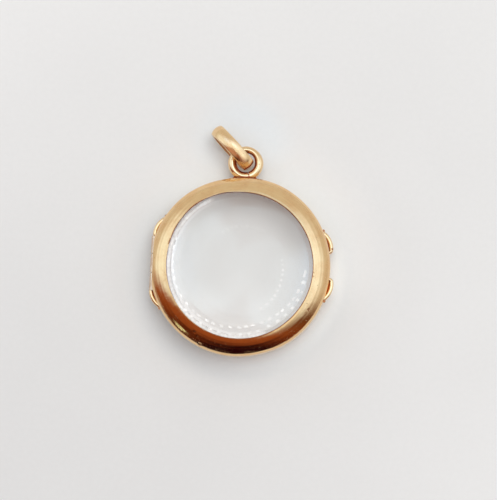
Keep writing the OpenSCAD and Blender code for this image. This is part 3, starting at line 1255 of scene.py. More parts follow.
@dataclass
class Crystals:
    """The two crystals: flat inside, bevelled at the edge and domed in the middle."""

    apex_drop: float = 0.08
    dome_h: float = 0.55
    ridge_r: float = 9.15
    slopes: tuple[Pair, ...] = (
        (8.1, 6.1), (8.35, 9.5), (8.9, 12.5), (9.3, 16.5), (9.95, 20.0), (10.55, 20.5),
    )
    back_slopes: tuple[Pair, ...] = (
        (6.2, 4.65), (6.45, 8.2), (8.3, 8.6), (8.9, 12.0), (9.4, 16.0), (10.1, 18.5), (10.55, 19.0),
    )
    inside_z: float = 2.1
    edge_chamfer: float = 0.06
    dome_steps: int = 28
    fall_steps: int = 8
    drop_steps: int = 40
    segments: int = 256
    path_r: float = 5.0
    merge: float = 0.001
    sharp: float = 24.0

    def dome_r(self) -> float:
        """The radius in mm of the dome's sphere."""
        return (self.ridge_r ** 2 + self.dome_h ** 2) / (2 * self.dome_h)

    def slope(self, radius: float) -> float:
        """The front crystal's slope in degrees at a distance from its axis in mm."""
        if radius <= self.slopes[0][0]:
            return math.degrees(math.asin(radius / self.dome_r()))
        for (near, near_slope), (far, far_slope) in zip(self.slopes, self.slopes[1:]):
            if radius <= far:
                return near_slope + (far_slope - near_slope) * (radius - near) / (far - near)
        return self.slopes[-1][1]

    def height(self, radius: float) -> float:
        """The height of the front crystal's outer face over the paper in mm at a distance from its axis."""
        steps = self.drop_steps
        drop = sum(math.tan(math.radians(self.slope(radius * (i + 0.5) / steps))) for i in range(steps))
        return CASE_T - self.apex_drop - drop * radius / steps

    def outline(self, half: Half) -> Points:
        """The section from the axis to the axis, as radius and height over the parting plane.

        Args:
            half: The half that holds the crystal. The back one's bevel starts further in.

        Returns:
            The outline's points.
        """
        dome_r = self.dome_r()
        slopes = self.slopes if half is Half.FRONT else self.back_slopes
        end = math.degrees(math.asin(slopes[0][0] / dome_r))
        fall = arc((0.0, HALF_T - self.apex_drop - dome_r), dome_r, 0.0, end, self.dome_steps)
        for (near, near_slope), (far, far_slope) in zip(slopes, slopes[1:]):
            for i in range(1, self.fall_steps + 1):
                r = near + (far - near) * i / self.fall_steps
                slope = near_slope + (far_slope - near_slope) * (i - 0.5) / self.fall_steps
                last = fall[-1]
                fall.append((r, last[1] - (r - last[0]) * math.tan(math.radians(slope))))
        c = self.edge_chamfer
        rim, edge = fall[-1]
        fall[-1] = (rim - c, edge + c * math.tan(math.radians(self.slopes[-1][1])))
        points = [(0.0, self.inside_z), (rim / 3, self.inside_z), (2 * rim / 3, self.inside_z)]
        points += [(rim - c, self.inside_z), (rim, self.inside_z + c), (rim, edge - c)]
        return points + fall[::-1]

    def build(self, half: Half, dress: Dress) -> Piece:
        """Turns one crystal and closes its two poles.

        Args:
            half: The half that holds it.
            dress: Its material.

        Returns:
            The finished mesh object.
        """
        sizes: dict[str, Value] = {
            "Segments": self.segments,
            "Path radius": self.path_r * MM,
            "Parting height": HALF_T * MM,
        }
        tree = ShapeTree(f"turned_crystal_{half.name.lower()}", sizes)
        given = tree.given
        disc = tree.turned(given["Path radius"], given["Segments"])
        merged = {"Geometry": disc, "Distance": self.merge * MM}
        disc = tree.add("GeometryNodeMergeByDistance", merged).outputs[0]
        disc = tree.move(disc, tree.join(0.0, 0.0, given["Parting height"]))
        drawn = chain(((r - self.path_r, -half.value * z) for r, z in self.outline(half)), False)
        return finish_mesh(tree.make(disc, f"{half.name.lower()}_glass", drawn, dress), self.sharp)


@dataclass
class Eyelet:
    """The split wire ring at the top of the back bezel, its solder web and its curved foot."""

    ring_d: float = 4.7
    wire_r: float = 0.48
    drop: float = 0.78
    split_at: float = -73.0
    split_gap: float = 0.13
    swell: float = 1.24
    swell_from: float = 0.9
    arc_steps: int = 180
    wire_sides: int = 40
    foot_w: float = 3.5
    foot_h: float = 0.8
    foot_top: float = 0.52
    foot_t: float = 0.02
    foot_steps: int = 20
    foot_edge: float = 0.05
    web_h: float = 0.52
    web_foot_w: float = 3.9
    web_ring_w: float = 2.7
    web_hollow: float = 0.12
    web_into: float = 0.4
    web_rows: int = 8
    web_edge: float = 0.08
    solder_depth: float = 0.3

    def __post_init__(self) -> None:
        """Works out where the ring's middle is from the back frame's box."""
        self.line_r = self.ring_d / 2 - self.wire_r
        self.middle_y = BACK_BOX[1][1] / MM - self.ring_d / 2
        self.middle_z = HALF_T - self.drop

    def ring(self, dress: Dress) -> Piece:
        """Makes the ring: round wire, thicker towards the case, along an arc that stops short of a full turn.

        Args:
            dress: Its material.

        Returns:
            The finished mesh object.
        """
        gap = self.split_gap / self.line_r
        sizes: dict[str, Value] = {
            "Line radius": self.line_r * MM,
            "Wire radius": self.wire_r * MM,
            "Swell": self.swell,
            "Split azimuth": math.radians(self.split_at) + gap / 2,
            "Sweep": 2 * math.pi - gap,
            "Middle": (0.0, self.middle_y * MM, self.middle_z * MM),
        }
        tree = ShapeTree("split_ring", sizes)
        given = tree.given
        line = {
            "Resolution": self.arc_steps,
            "Radius": given["Line radius"],
            "Start Angle": given["Split azimuth"],
            "Sweep Angle": given["Sweep"],
        }
        path = tree.add("GeometryNodeCurveArc", line, mode="RADIUS").outputs[0]
        section = tree.circle(given["Wire radius"], self.wire_sides)
        _, y, _ = tree.split(tree.at())
        thin_at = tree.math("MULTIPLY", given["Line radius"], self.swell_from)
        swell = tree.ramp(y, thin_at, 0.0, 1.0, given["Swell"])
        ring = tree.move(tree.sweep(path, section, True, swell), given["Middle"])
        return finish_mesh(tree.make(ring, "eyelet_ring", chain([(0.0, 0.0)], False), dress))

    def web(self, dress: Dress) -> Piece:
        """Makes the solder between the ring and the foot, hollowed at its sides.

        Args:
            dress: Its material.

        Returns:
            The finished mesh object.
        """
        low = CASE_R - self.solder_depth
        top = self.middle_y - self.line_r + self.web_into * 2 * self.wire_r
        sides = []
        for i in range(self.web_rows + 1):
            t = i / self.web_rows
            half_w = (self.web_foot_w + (self.web_ring_w - self.web_foot_w) * t) / 2
            half_w -= self.web_hollow * math.sin(math.pi * t)
            sides.append((half_w, low + (top - low) * t))
        outline = sides + [(-x, y) for x, y in reversed(sides)]
        return slab("eyelet_solder", outline, self.middle_z, self.web_h, self.web_edge, dress)

    def foot(self, dress: Dress) -> Piece:
        """Makes the foot: a thin plate bent round the case's wall.

        Args:
            dress: Its material.

        Returns:
            The finished mesh object.
        """
        out = CASE_R + self.foot_t
        low = CASE_R - self.solder_depth
        half_a = math.degrees(math.asin(self.foot_w / 2 / out))
        outer = arc((0.0, 0.0), out, -half_a, half_a, self.foot_steps)
        inner = arc((0.0, 0.0), low, half_a, -half_a, self.foot_steps)
        middle = HALF_T - self.foot_top - self.foot_h / 2
        return slab("eyelet_foot", outer + inner, middle, self.foot_h, self.foot_edge, dress)


def slab(name: str, outline: Points, middle: float, height: float, edge: float, dress: Dress) -> Piece:
    """A flat outline given height, with rounded edges.

    Args:
        name: The object's name.
        outline: Its corners in plan, in mm.
        middle: The height of its middle in mm.
        height: Its thickness in mm.
        edge: The radius of its rounded edges in mm.
        dress: Its material.

    Returns:
        The finished mesh object.
    """
    corner = math.radians(40)
    steps = 4
    made = bmesh.new()
    low = middle - height / 2
    verts = [made.verts.new((x * MM, y * MM, low * MM)) for x, y in outline]
    face = made.faces.new(verts)
    raised = bmesh.ops.extrude_face_region(made, geom=[face])["geom"]
    tops = [part for part in raised if isinstance(part, bmesh.types.BMVert)]
    bmesh.ops.translate(made, vec=(0, 0, height * MM), verts=tops)
    bmesh.ops.recalc_face_normals(made, faces=made.faces)
    corners = [e for e in made.edges if e.calc_face_angle(0.0) > corner]
    bmesh.ops.bevel(
        made, geom=corners, offset=edge * MM, segments=steps, profile=0.5, affect="EDGES", clamp_overlap=True,
    )
    return finish_mesh(keep(made, name, dress))


@dataclass
class Bail:
    """The bail: a crowned band along an oval of four arcs, which hangs through the eyelet."""

    eyelet: Eyelet
    length: float = 7.4
    height: float = 5.5
    band_w: float = 1.84
    band_t: float = 0.75
    edge_t: float = 0.5
    edge_round: float = 0.12
    azimuth: float = 134.8
    aside: float = -0.05
    tip: float = 0.9
    lean: float = 1.0
    floor_gap: float = 0.02
    steps: int = 26
    edge_steps: int = 4
    side_cuts: int = 5

    def path(self) -> Points:
        """The oval along the middle of the band's edge thickness, as two end arcs and two side arcs.

        The arcs' centres lie on the sides of right triangles of 3, 4 and 5 units, so that they meet smoothly.
        """
        unit = (self.length - self.height) / 4
        inset = self.band_t - self.edge_t / 2
        end_x = 3 * unit
        end_r = self.length / 2 - end_x - inset
        side_r = end_r + 5 * unit
        meet = math.degrees(math.atan2(4, 3))
        points = arc((end_x, 0.0), end_r, 90 - meet, 90 + meet, self.steps)
        points += arc((0.0, 4 * unit), side_r, 90 + meet, 270 - meet, self.steps)[1:]
        points += arc((-end_x, 0.0), end_r, 270 - meet, 270 + meet, self.steps)[1:]
        points += arc((0.0, -4 * unit), side_r, meet - 90, 90 - meet, self.steps)[1:-1]
        return points[::-1]

    def build(self, dress: Dress) -> Piece:
        """Sweeps the crowned band along the oval and lays it where it hangs.

        Args:
            dress: Its material.

        Returns:
            The finished mesh object.
        """
        sizes: dict[str, Value] = {
            "Band width": self.band_w * MM,
            "Edge thickness": self.edge_t * MM,
            "Crown rise": (self.band_t - self.edge_t) * MM,
            "Edge round": self.edge_round * MM,
        }
        tree = ShapeTree("crowned_band", sizes)
        given = tree.given
        section = tree.box(given["Edge thickness"], given["Band width"])
        section = tree.rounded(section, given["Edge round"], self.edge_steps)
        cuts = {"Curve": section, "Cuts": self.side_cuts}
        section = tree.add("GeometryNodeSubdivideCurve", cuts).outputs[0]
        x, y, _ = tree.split(tree.at())
        share = tree.math("DIVIDE", y, tree.math("MULTIPLY", given["Band width"], 0.5))
        dome = tree.math("SUBTRACT", 1.0, tree.math("MULTIPLY", share, share))
        outer = tree.ramp(x, 0.0, tree.math("MULTIPLY", given["Edge thickness"], 0.5))
        rise = tree.math("MULTIPLY", tree.math("MULTIPLY", given["Crown rise"], dome), outer)
        section = tree.shift(section, tree.join(rise, 0.0, 0.0))
        band = tree.sweep(tree.curve(given[0]), section)
        made = tree.make(band, "bail_band", chain(self.path(), True), dress)
        lean = math.radians(self.lean)
        low = self.height / 2 * math.cos(lean)
        low += (self.band_w / 2 - self.edge_round) * math.sin(lean) + self.floor_gap
        place = Matrix.Translation(Vector((0.0, self.eyelet.middle_y, low)) * MM)
        place @= Matrix.Rotation(math.radians(self.azimuth), 4, "Z")
        place @= Matrix.Translation(Vector((self.length / 2 - self.tip, self.aside, 0.0)) * MM)
        place @= Matrix.Rotation(math.radians(90 + self.lean), 4, "X")
        made.data.transform(place)
        return finish_mesh(made)


@dataclass(frozen=True)
class SoftPanel:
    """One soft patch of light or dark in the room, as the polished metal sees it."""

    name: str
    azimuth: float
    elevation: float
    half_width: float
    half_height: float
    softness: float
    colour: Triple

    def mask(self, group: EffectGroup, sheet: NodeSheet, direction: Value, turned: float = 0.0) -> Socket:
        """Places the patch's mask in a tree.

        Args:
            group: The shared group that gives a patch's mask.
            sheet: The tree that uses it.
            direction: The direction that is looked in.
            turned: How far the tree's own directions are turned, in degrees.

        Returns:
            1 inside the patch and 0 outside it.
        """
        values = {
            "Direction": direction,
            "Azimuth": self.azimuth - turned,
            "Elevation": self.elevation,
            "Half width": self.half_width,
            "Half height": self.half_height,
            "Softness": self.softness,
        }
        return group.place(sheet, values)["Mask"]


@dataclass(frozen=True)
class Haze:
    """A wide soft glow on a dome, whose middle leans from overhead towards an azimuth."""

    name: str
    lean: float
    way: float
    distance: float
    patches: tuple[SoftPanel, ...]

    def reach(self) -> float:
        """The angle from the dome's middle to the far edge of its patches, in degrees."""
        ends = (90.0 - patch.elevation + patch.half_height * (1 + patch.softness) for patch in self.patches)
        return max(ends)


def overhead(name: str, reach: float, softness: float, colour: Triple) -> SoftPanel:
    """A round patch straight overhead, as wide as the whole circle in azimuth."""
    return SoftPanel(name, 0.0, 90.0, 9999.0, reach, softness, colour)


@dataclass(frozen=True)
class LampRow:
    """A row of small soft lamps, each hung where the front crystal mirrors it at a wanted place.

    The course gives the row on the crystal as azimuths in degrees and distances from the axis in mm.
    The step between dashes is in degrees; a dash's length along the row and its width are in mm.
    A row at the crystal's edge hangs close over it, because the bezel's lip would hide a distant one.
    """

    name: str
    course: tuple[Pair, ...]
    step: float
    length: float
    width: float
    glow: float
    distance: float = 380.0
    uneven: float = 0.4
    flicker: float = 1.6

    def spots(self) -> Points:
        """The middle of each dash, a little uneven in its step, as azimuth and distance."""
        chance = random.Random(self.name)
        azimuth = self.course[0][0]
        found = []
        while azimuth <= self.course[-1][0]:
            for (near, near_r), (far, far_r) in zip(self.course, self.course[1:]):
                if near <= azimuth <= far:
                    radius = near_r + (far_r - near_r) * (azimuth - near) / (far - near)
            found.append((azimuth, radius))
            azimuth += self.step * (1 + self.uneven * (chance.random() - 0.5))
        return found


@dataclass
class Studio:
    """The paper, the room's light, the lamps and the camera over the locket."""

    scale: float = 0.1389
    image_w: int = 497
    distance: float = 400.0
    aim: Triple = (1.01, 2.44, 3.45)
    tilt: float = 5.3
    tilt_azimuth: float = 295.0
    roll: float = 2.8
    sensor_w: float = 36.0
    clip: Pair = (0.01, 20.0)
    paper_reach: float = 2.0
    paper_cells: int = 8
    paper_drop: float = 0.004
    room: Triple = (0.70, 0.69, 0.66)
    fill: Triple = (0.69, 0.67, 0.683)
    fill_low: float = 0.35
    fill_top: float = 0.7
    backdrop: Triple = (0.80, 0.80, 0.79)
    key_azimuth: float = 58.0
    key_elevation: float = 72.0
    key_distance: float = 220.0
    key_size: float = 150.0
    key_power: float = 0.192
    key_colour: Triple = (1.0, 1.015, 0.985)
    lamp_colour: Triple = (1.0, 1.0, 0.99)
    lamp_shares: tuple[float, ...] = (-1.0, -0.5, 0.0, 0.5, 1.0)
    dome_rim: float = 6.0
    dome_most: float = 75.0
    dome_segments: int = 48
    dome_rings: int = 45
    panels: tuple[SoftPanel, ...] = (
        overhead("overhead", 25.0, 0.35, (1.1, 1.2, 1.26)),
        SoftPanel("right_window", 8.0, 46.0, 38.0, 24.0, 0.55, (1.12, 1.32, 1.58)),
        SoftPanel("left_window", 170.0, 38.0, 32.0, 24.0, 0.45, (1.08, 1.28, 1.5)),
        SoftPanel("dark_high", 248.0, 58.0, 46.0, 28.0, 0.2, (0.30, 0.095, 0.03)),
        SoftPanel("low_side", 303.0, 0.0, 36.0, 50.0, 0.35, (0.15, 0.055, 0.02)),
        SoftPanel("dark_side", 252.0, 0.0, 66.0, 80.0, 0.16, (0.31, 0.085, 0.025)),
        SoftPanel("dim_side", 259.0, 0.0, 54.0, 44.0, 0.25, (0.10, 0.022, 0.007)),
        SoftPanel("darkest", 267.0, 0.0, 28.0, 31.0, 0.3, (0.018, 0.001, 0.003)),
        SoftPanel("gleam", 224.0, 10.5, 5.5, 1.9, 0.4, (1.5, 1.8, 1.35)),
    )
    inner_course: tuple[Pair, ...] = (
        (210.0, 9.04), (225.0, 8.94), (255.0, 8.70), (283.0, 8.45),
        (310.0, 8.50), (338.0, 8.82), (358.0, 9.08),
    )
    outer_course: tuple[Pair, ...] = (
        (222.0, 9.62), (263.0, 9.58), (288.0, 9.40), (298.0, 9.24),
        (313.0, 9.30), (340.0, 9.36), (358.0, 9.10),
    )
    side_course: tuple[Pair, ...] = ((159.0, 9.58), (183.0, 9.25), (208.0, 9.06))
    edge_course: tuple[Pair, ...] = ((117.0, 10.0), (133.0, 9.92), (152.0, 9.70))
    band_course: tuple[Pair, ...] = ((116.0, 9.90), (292.0, 9.86))
    low_course: tuple[Pair, ...] = ((299.0, 6.62), (320.0, 6.44), (345.0, 6.08), (374.0, 5.86))
    faint_course: tuple[Pair, ...] = ((58.0, 5.85), (92.0, 5.42), (124.0, 5.12))
    lamp_rows: tuple[LampRow, ...] = (
        LampRow("inner_row", inner_course, 7.4, 0.62, 0.32, glow=4.6),
        LampRow("side_row", side_course, 7.2, 0.62, 0.32, glow=4.6, distance=0.15),
        LampRow("outer_row", outer_course, 8.6, 0.55, 0.36, glow=4.0, distance=0.15),
        LampRow("edge_row", edge_course, 3.7, 0.28, 0.30, glow=3.6, distance=0.15),
        LampRow("edge_band", band_course, 3.6, 1.2, 0.62, glow=2.4, distance=0.12),
        LampRow("low_ring", low_course, 7.3, 0.42, 0.40, glow=2.6),
        LampRow("faint_ring", faint_course, 7.0, 0.42, 0.42, glow=1.6),
    )
    glass_haze: Haze = Haze("glass_haze", 5.3, 115.0, 390.0, (
        SoftPanel("wide", 230.0, 60.0, 94.0, 16.0, 0.35, (1.05, 1.05, 1.05)),
        SoftPanel("side", 215.0, 60.0, 45.0, 7.0, 0.4, (0.5, 0.5, 0.5)),
        SoftPanel("edge", 203.0, 50.0, 98.0, 8.0, 0.3, (1.5, 1.5, 1.5)),
        SoftPanel("low", 268.0, 78.0, 50.0, 9.0, 0.5, (0.9, 0.9, 0.9)),
    ))
    case_glow: Haze = Haze(
        "case_glow", 14.0, 62.0, 393.0, (overhead("middle", 20.0, 0.4, (0.10, 0.30, 0.60)),),
    )
    wire_glow: Haze = Haze(
        "wire_glow", 8.0, 90.0, 396.0, (overhead("middle", 13.0, 0.45, (0.45, 0.75, 1.20)),),
    )
    bail_glows: tuple[Haze, ...] = (
        Haze("bail_glow", 27.0, 55.0, 399.0, (overhead("middle", 14.0, 0.5, (0.70, 1.10, 1.90)),)),
        Haze("bail_back", 32.0, 128.0, 402.0, (overhead("middle", 11.0, 0.5, (0.45, 0.90, 1.80)),)),
        Haze("bail_front", 52.0, 326.0, 405.0, (overhead("middle", 18.0, 0.5, (0.52, 0.58, 0.66)),)),
        Haze("bail_fill", 34.0, 235.0, 408.0, (overhead("middle", 22.0, 0.5, (0.26, 0.24, 0.22)),)),
    )

    def __post_init__(self) -> None:
        """Builds the group that every soft patch places."""
        self.panel = self.panel_group()

    def shine_on(self, lamp: Piece, pieces: Sequence[Piece]) -> None:
        """Lets a lamp mirror in the outer faces of some pieces alone.

        Args:
            lamp: The lamp's object.
            pieces: The pieces that mirror it.
        """
        lamp.visible_camera = False
        lamp.visible_diffuse = False
        lamp.visible_shadow = False
        lamp.visible_transmission = False
        receivers = bpy.data.collections.new(lamp.name + "_receivers")
        for piece in pieces:
            receivers.objects.link(piece)
        lamp.light_linking.receiver_collection = receivers

    def glow(self, name: str, colour: Value, strength: Value, sheet: NodeSheet) -> None:
        """Ends a lamp's material: it adds its light and is clear otherwise.

        Args:
            name: The output node's name.
            colour: The light's colour.
            strength: How bright it is.
            sheet: The material's node tree.
        """
        lit = sheet.add("ShaderNodeEmission", {"Color": colour, "Strength": strength})
        clear = sheet.add("ShaderNodeBsdfTransparent")
        sheet.end(sheet.add("ShaderNodeAddShader", {0: lit.outputs[0], 1: clear.outputs[0]}), name=name)

    def hang_haze(self, haze: Haze, pieces: Sequence[Piece]) -> None:
        """Hangs one wide soft glow that only some pieces mirror, cut off where its patches end.

        Args:
            haze: The glow's patches and where its middle leans.
            pieces: The pieces that mirror it.
        """
        material, sheet = new_material(haze.name)
        direction = sheet.add("ShaderNodeTexCoord").outputs["Object"]
        light: Value = (0.0, 0.0, 0.0)
        for patch in haze.patches:
            mask = patch.mask(self.panel, sheet, direction, haze.way)
            light = sheet.vector("ADD", light, sheet.scale(patch.colour, mask))
        self.glow(haze.name, light, 1.0, sheet)
        radius = haze.distance * MM
        reach = min(haze.reach() + self.dome_rim, self.dome_most)
        floor = math.cos(math.radians(reach)) * radius
        made = bmesh.new()
        bmesh.ops.create_uvsphere(
            made, u_segments=self.dome_segments, v_segments=self.dome_rings, radius=radius,
        )
        bmesh.ops.delete(made, geom=[v for v in made.verts if v.co.z < floor], context="VERTS")
        dome = keep(made, haze.name, material)
        dome.rotation_euler = (0.0, math.radians(haze.lean), math.radians(haze.way))
        self.shine_on(dome, pieces)

    def mirrored(self, crystals: Crystals, azimuth: float, radius: float, distance: float) -> Vector:
        """Where the camera's ray goes from a place on the front crystal, out to the lamps.

        Args:
            crystals: The crystals' sizes.
            azimuth: The place's azimuth in degrees.
            radius: Its distance from the axis in mm.
            distance: How far from it the lamp hangs, in mm.

        Returns:
            The lamp's place in metres.
        """
        slope = math.radians(crystals.slope(radius))
        place = Vector((*polar_spot(azimuth, radius), crystals.height(radius))) * MM
        facing = Vector((*polar_spot(azimuth, math.sin(slope)), math.cos(slope)))
        view = (self.camera_place().translation - place).normalized()
        way = 2 * facing.dot(view) * facing - view
        return place + way * distance * MM

    def hang_lamps(self, row: LampRow, crystals: Crystals, glasses: Sequence[Piece]) -> None:
        """Hangs one row of small lamps, each a pane that is brightest in its middle.

        Args:
            row: Where the row's dashes lie on the crystal, and how large and bright they are.
            crystals: The crystals' sizes.
            glasses: The crystals that mirror them.
        """
        material, sheet = new_material(row.name)
        strength = sheet.add("ShaderNodeAttribute", attribute_name="glow").outputs["Fac"]
        self.glow(row.name, (*self.lamp_colour, 1.0), strength, sheet)
        chance = random.Random(row.name + "_light")
        shares = self.lamp_shares
        count = len(shares)
        verts, faces, levels = [], [], []
        for azimuth, radius in row.spots():
            first = len(verts)
            bright = row.glow * (1 + row.uneven * (chance.random() - 0.5) * row.flicker)
            long = row.length * (1 + row.uneven * (chance.random() - 0.5))
            for u in shares:
                for v in shares:
                    turn = azimuth + math.degrees(u * long / 2 / radius)
                    verts.append(self.mirrored(crystals, turn, radius + v * row.width / 2, row.distance))
                    levels.append(bright * (1 - u ** 4) * (1 - v * v))
            for i in range(count - 1):
                for j in range(count - 1):
                    corner = first + i * count + j
                    faces.append((corner, corner + 1, corner + count + 1, corner + count))
        mesh = bpy.data.meshes.new(row.name)
        mesh.from_pydata(verts, [], faces)
        mesh.attributes.new("glow", "FLOAT", "POINT").data.foreach_set("value", levels)
        mesh.materials.append(material)
        self.shine_on(put(row.name, mesh), glasses)

    def paper(self, dress: Dress) -> None:
        """Lays the paper under the locket.

        Args:
            dress: Its material.
        """
        cells = self.paper_cells
        made = bmesh.new()
        bmesh.ops.create_grid(made, x_segments=cells, y_segments=cells, size=self.paper_reach)
        bmesh.ops.translate(made, vec=(0.0, 0.0, -self.paper_drop * MM), verts=made.verts)
        keep(made, "paper", dress)

    def panel_group(self) -> EffectGroup:
        """The shared group that gives a soft patch's mask from a direction.

        Returns:
            The group, with angles in degrees.
        """
        number = "NodeSocketFloat"
        names = ("Azimuth", "Elevation", "Half width", "Half height", "Softness")
        inputs = {"Direction": ("NodeSocketVector", (0.0, 0.0, 1.0))}
        inputs |= {name: (number, 10.0) for name in names}
        group = EffectGroup("soft_panel", inputs, {"Mask": number})
        azimuth, elevation, width, height = (group.math("RADIANS", group.given[name]) for name in names[:4])
        softness = group.given["Softness"]
        x, y, z = group.split(group.vector("NORMALIZE", group.given["Direction"]))
        turn = group.math("SUBTRACT", group.math("ARCTAN2", y, x), azimuth)
        turn = group.math("ARCCOSINE", group.math("COSINE", turn))
        rise = group.math("SUBTRACT", group.math("ARCSINE", z), elevation)
        across = group.math("DIVIDE", turn, width)
        up = group.math("DIVIDE", rise, height)
        away = group.measure("LENGTH", group.join(across, up, 0.0))
        near = group.math("SUBTRACT", 1.0, softness)
        far = group.math("ADD", 1.0, softness)
        group.give(Mask=group.ramp(away, near, far, 1.0, 0.0))
        return group

    def light_room(self) -> None:
        """Paints the room's soft light and dark sides as the world, and a plain backdrop for the camera."""
        world = bpy.data.worlds.new("studio")
        bpy.context.scene.world = world
        world.use_nodes = True
        world.node_tree.nodes.clear()
        sheet = NodeSheet(world.node_tree)
        direction = sheet.add("ShaderNodeTexCoord").outputs["Generated"]
        light: Value = (*self.room, 1.0)
        for patch in self.panels:
            light = sheet.blend(patch.mask(self.panel, sheet, direction), light, (*patch.colour, 1.0))
        path = sheet.add("ShaderNodeLightPath").outputs
        mirrored = sheet.math("MAXIMUM", path["Is Glossy Ray"], path["Is Transmission Ray"])
        height = sheet.split(direction)[2]
        dim = sheet.ramp(height, 0.0, self.fill_top, self.fill_low, 1.0)
        light = sheet.blend(mirrored, sheet.scale(self.fill, dim), light)
        shown = sheet.blend(path["Is Camera Ray"], light, (*self.backdrop, 1.0))
        glow = sheet.add("ShaderNodeBackground", {"Color": shown, "Strength": 1.0})
        sheet.add("ShaderNodeOutputWorld", {"Surface": glow.outputs[0]})

    def light_key(self) -> None:
        """Hangs the key lamp: one soft round panel high on the right."""
        data = bpy.data.lights.new("key_panel", "AREA")
        data.shape = "DISK"
        data.size = self.key_size * MM
        data.energy = self.key_power
        data.color = self.key_colour
        lamp = put("key_panel", data)
        lamp.visible_glossy = False
        lamp.visible_transmission = False
        turn = math.radians(self.key_azimuth)
        rise = math.radians(self.key_elevation)
        place = Vector((math.cos(rise) * math.cos(turn), math.cos(rise) * math.sin(turn), math.sin(rise)))
        lamp.location = place * self.key_distance * MM
        lamp.rotation_euler = place.to_track_quat("Z", "Y").to_euler()

    def set_camera(self) -> None:
        """Sets the camera over the locket, a few degrees off square, with the photograph's roll."""
        scene = bpy.context.scene
        data = bpy.data.cameras.new("camera")
        data.sensor_fit = "HORIZONTAL"
        data.sensor_width = self.sensor_w
        data.lens = self.sensor_w * self.distance / (self.scale * self.image_w)
        data.clip_start, data.clip_end = self.clip
        camera = put("camera", data)
        camera.matrix_world = self.camera_place()
        scene.camera = camera
        scene.view_settings.view_transform = "Standard"

    def camera_place(self) -> Matrix:
        """The camera's place and turn."""
        tilt = math.radians(self.tilt)
        turn = math.radians(self.tilt_azimuth)
        back = Vector((math.sin(tilt) * math.cos(turn), math.sin(tilt) * math.sin(turn), math.cos(tilt)))
        aim = Vector(self.aim) * MM
        roll = math.radians(-self.roll)
        up = Vector((math.sin(roll), math.cos(roll), 0.0))
        right = up.cross(back).normalized()
        up = back.cross(right)
        place = Matrix((right, up, back)).transposed().to_4x4()
        place.translation = aim + back * self.distance * MM
        return place


def dress_pin(dress: Dress) -> None:
    """Gives the hinge pin, which stays as the frame has it, its gold."""
    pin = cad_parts["hinge_pin"]
    pin.data.materials.clear()
    pin.data.materials.append(dress)


def case_dark_spots() -> Spots:
    """The dark marks on the bezels: a line inside the lip, four dashes, a line at the eyelet and one dent."""
    lip_r = 10.12
    wide_r = 7.0
    lip = ((0.0, 0.0, lip_r, 0.05),)
    lip += dark_spots_at((40.0,), 0.07, lip_r, 0.05) + dark_spots_at((320.0,), 0.07, lip_r, 0.04)
    for turn, reach in ((110.0, 10.30), (130.0, 10.45), (149.0, 10.33)):
        lip += dark_spots_at((turn,), reach - wide_r, wide_r, 0.05)
    dashes = dark_spots_at((161.9, 163.1, 164.3, 165.5), 10.24, 0.05, 0.10)
    joint = dark_spots_at(range(79, 101, 2), 12.44, 0.10, 0.20)
    return lip + dashes + joint + dark_spots_at((329.4,), 11.38, 0.06, 0.10)


def gold_finishes(eyelet: Eyelet) -> tuple[GoldFinish, ...]:
    """Lists the gold finishes, each with its polish, its tarnish and its dark spots, some of which are
    painted shade.

    Args:
        eyelet: The eyelet, round whose middle the ring's painted shade lies.

    Returns:
        The finishes of the bezels, the bail, the pin, the ring, the ears, the tube, the solder and the foot.
    """
    # Painted shade on the ring's inner wall, round its own middle, and a darker band low on the ring where it
    # comes close to the case.
    ring_dark_spots = ((0.0, eyelet.middle_y, 1.50, 0.18), (0.0, 0.0, 12.66, 0.14))
    # Painted shade in each ear's curl, and two darker spots at the square end of the ear at 17.3 degrees.
    ear_dark_spots = dark_spots_at((148.0, 26.3, -19.9, 209.6), 12.6, 0.14, 0.12)
    ear_dark_spots += dark_spots_at((11.2,), 12.9, 0.05, 0.2) + dark_spots_at((13.8,), 13.0, 0.05, 0.2)
    dark = {"edge_wear": 0.0, "scratches": 0.1}
    return (
        GoldFinish(
            "turned_gold", Grain.ROUND, roughness=0.1, grain_height=0.55, dark_spots=case_dark_spots(),
            clean_wall=(1.35, 1.6),
        ),
        GoldFinish(
            "bail_gold", Grain.STRAIGHT, roughness=0.24, grain_height=0.25, wave_height=0.3, heading=135.8,
            scratches=0.2,
        ),
        GoldFinish("small_gold", roughness=0.10, wave_height=0.6),
        # The ring's tarnish colour also paints the shade on its inner wall.
        GoldFinish("ring_gold", wave_height=0.6, tarnish=(0.36, 0.06, 0.02), dark_spots=ring_dark_spots),
        # The ears' tarnish colour also paints the shade in their curls.
        GoldFinish("ear_gold", wave_height=0.6, dark_spots=ear_dark_spots),
        GoldFinish(
            "tube_gold", colour=(0.74, 0.56, 0.41), rosy=(0.70, 0.50, 0.36), roughness=0.34, edge_wear=0.1,
        ),
        # Near-black red: partly tarnish and partly painted shade of the gaps and crevices that the solder
        # fills.
        GoldFinish(
            "solder_gold", colour=(0.34, 0.04, 0.006), rosy=(0.20, 0.02, 0.003), roughness=0.2, **dark,
        ),
        GoldFinish(
            "amber_gold", colour=(0.80, 0.30, 0.04), rosy=(0.50, 0.13, 0.02), roughness=0.16, **dark,
        ),
    )


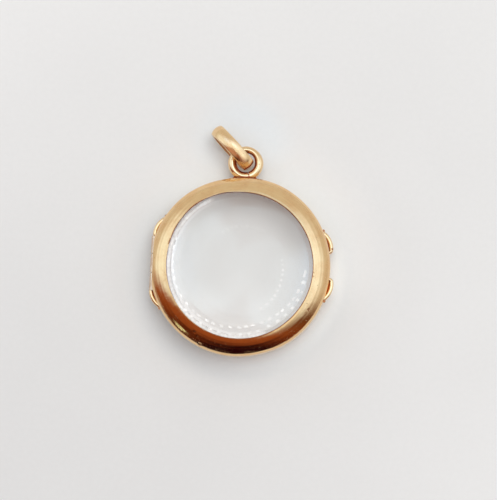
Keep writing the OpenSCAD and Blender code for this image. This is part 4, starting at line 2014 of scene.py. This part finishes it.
def main() -> None:
    """Builds each sub-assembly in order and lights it."""
    logging.basicConfig(level=logging.INFO, format="%(name)s: %(message)s")
    worn = WornMetal().group()
    bezels = Bezels()
    eyelet = Eyelet()
    gold = {finish.name: finish.build(worn) for finish in gold_finishes(eyelet)}
    crystal = CrystalFinish().build()

    settle(bezels.build(Half.FRONT, gold["turned_gold"]), Body.FRONT, Slot.ROSE_GOLD, "front_frame")
    settle(bezels.build(Half.BACK, gold["turned_gold"]), Body.BACK, Slot.ROSE_GOLD, "back_frame")
    hinge = Hinge(bezels)
    settle(hinge.build(Half.FRONT, gold["tube_gold"]), Body.FRONT, Slot.ROSE_GOLD)
    settle(hinge.build(Half.BACK, gold["tube_gold"]), Body.BACK, Slot.ROSE_GOLD)
    dress_pin(gold["small_gold"])
    ears = ThumbEars()
    settle(ears.build(Half.FRONT, gold["ear_gold"]), Body.FRONT, Slot.ROSE_GOLD)
    settle(ears.build(Half.BACK, gold["ear_gold"]), Body.BACK, Slot.ROSE_GOLD)
    settle(ears.solder(Half.FRONT, gold["solder_gold"]), Body.FRONT, Slot.ROSE_GOLD)
    settle(ears.solder(Half.BACK, gold["solder_gold"]), Body.BACK, Slot.ROSE_GOLD)
    crystals = Crystals()
    glasses = [crystals.build(half, crystal) for half in (Half.FRONT, Half.BACK)]
    settle(glasses[0], Body.FRONT, Slot.CRYSTAL, "front_crystal")
    settle(glasses[1], Body.BACK, Slot.CRYSTAL, "back_crystal")
    settle(eyelet.ring(gold["ring_gold"]), Body.BACK, Slot.ROSE_GOLD)
    settle(eyelet.web(gold["solder_gold"]), Body.BACK, Slot.ROSE_GOLD)
    settle(eyelet.foot(gold["amber_gold"]), Body.BACK, Slot.ROSE_GOLD)
    settle(Bail(eyelet).build(gold["bail_gold"]), Body.BAIL, Slot.ROSE_GOLD, "bail")

    metal = {piece.name: piece for piece in bpy.context.scene.objects if piece.type == "MESH"}
    for glass in glasses:
        metal.pop(glass.name)
    bail = metal.pop("bail_band")
    wires = [metal.pop(name) for name in ("eyelet_ring", "front_thumb_ear", "back_thumb_ears")]
    plain = [piece for name, piece in metal.items() if name not in ("eyelet_solder", "eyelet_foot")]

    studio = Studio()
    studio.paper(PaperFinish().build())
    studio.light_room()
    studio.light_key()
    studio.hang_haze(studio.glass_haze, glasses[:1])
    studio.hang_haze(studio.case_glow, plain)
    studio.hang_haze(studio.wire_glow, wires)
    for haze in studio.bail_glows:
        studio.hang_haze(haze, [bail])
    for row in studio.lamp_rows:
        studio.hang_lamps(row, crystals, glasses[:1])
    studio.set_camera()


if __name__ == "__main__":
    main()
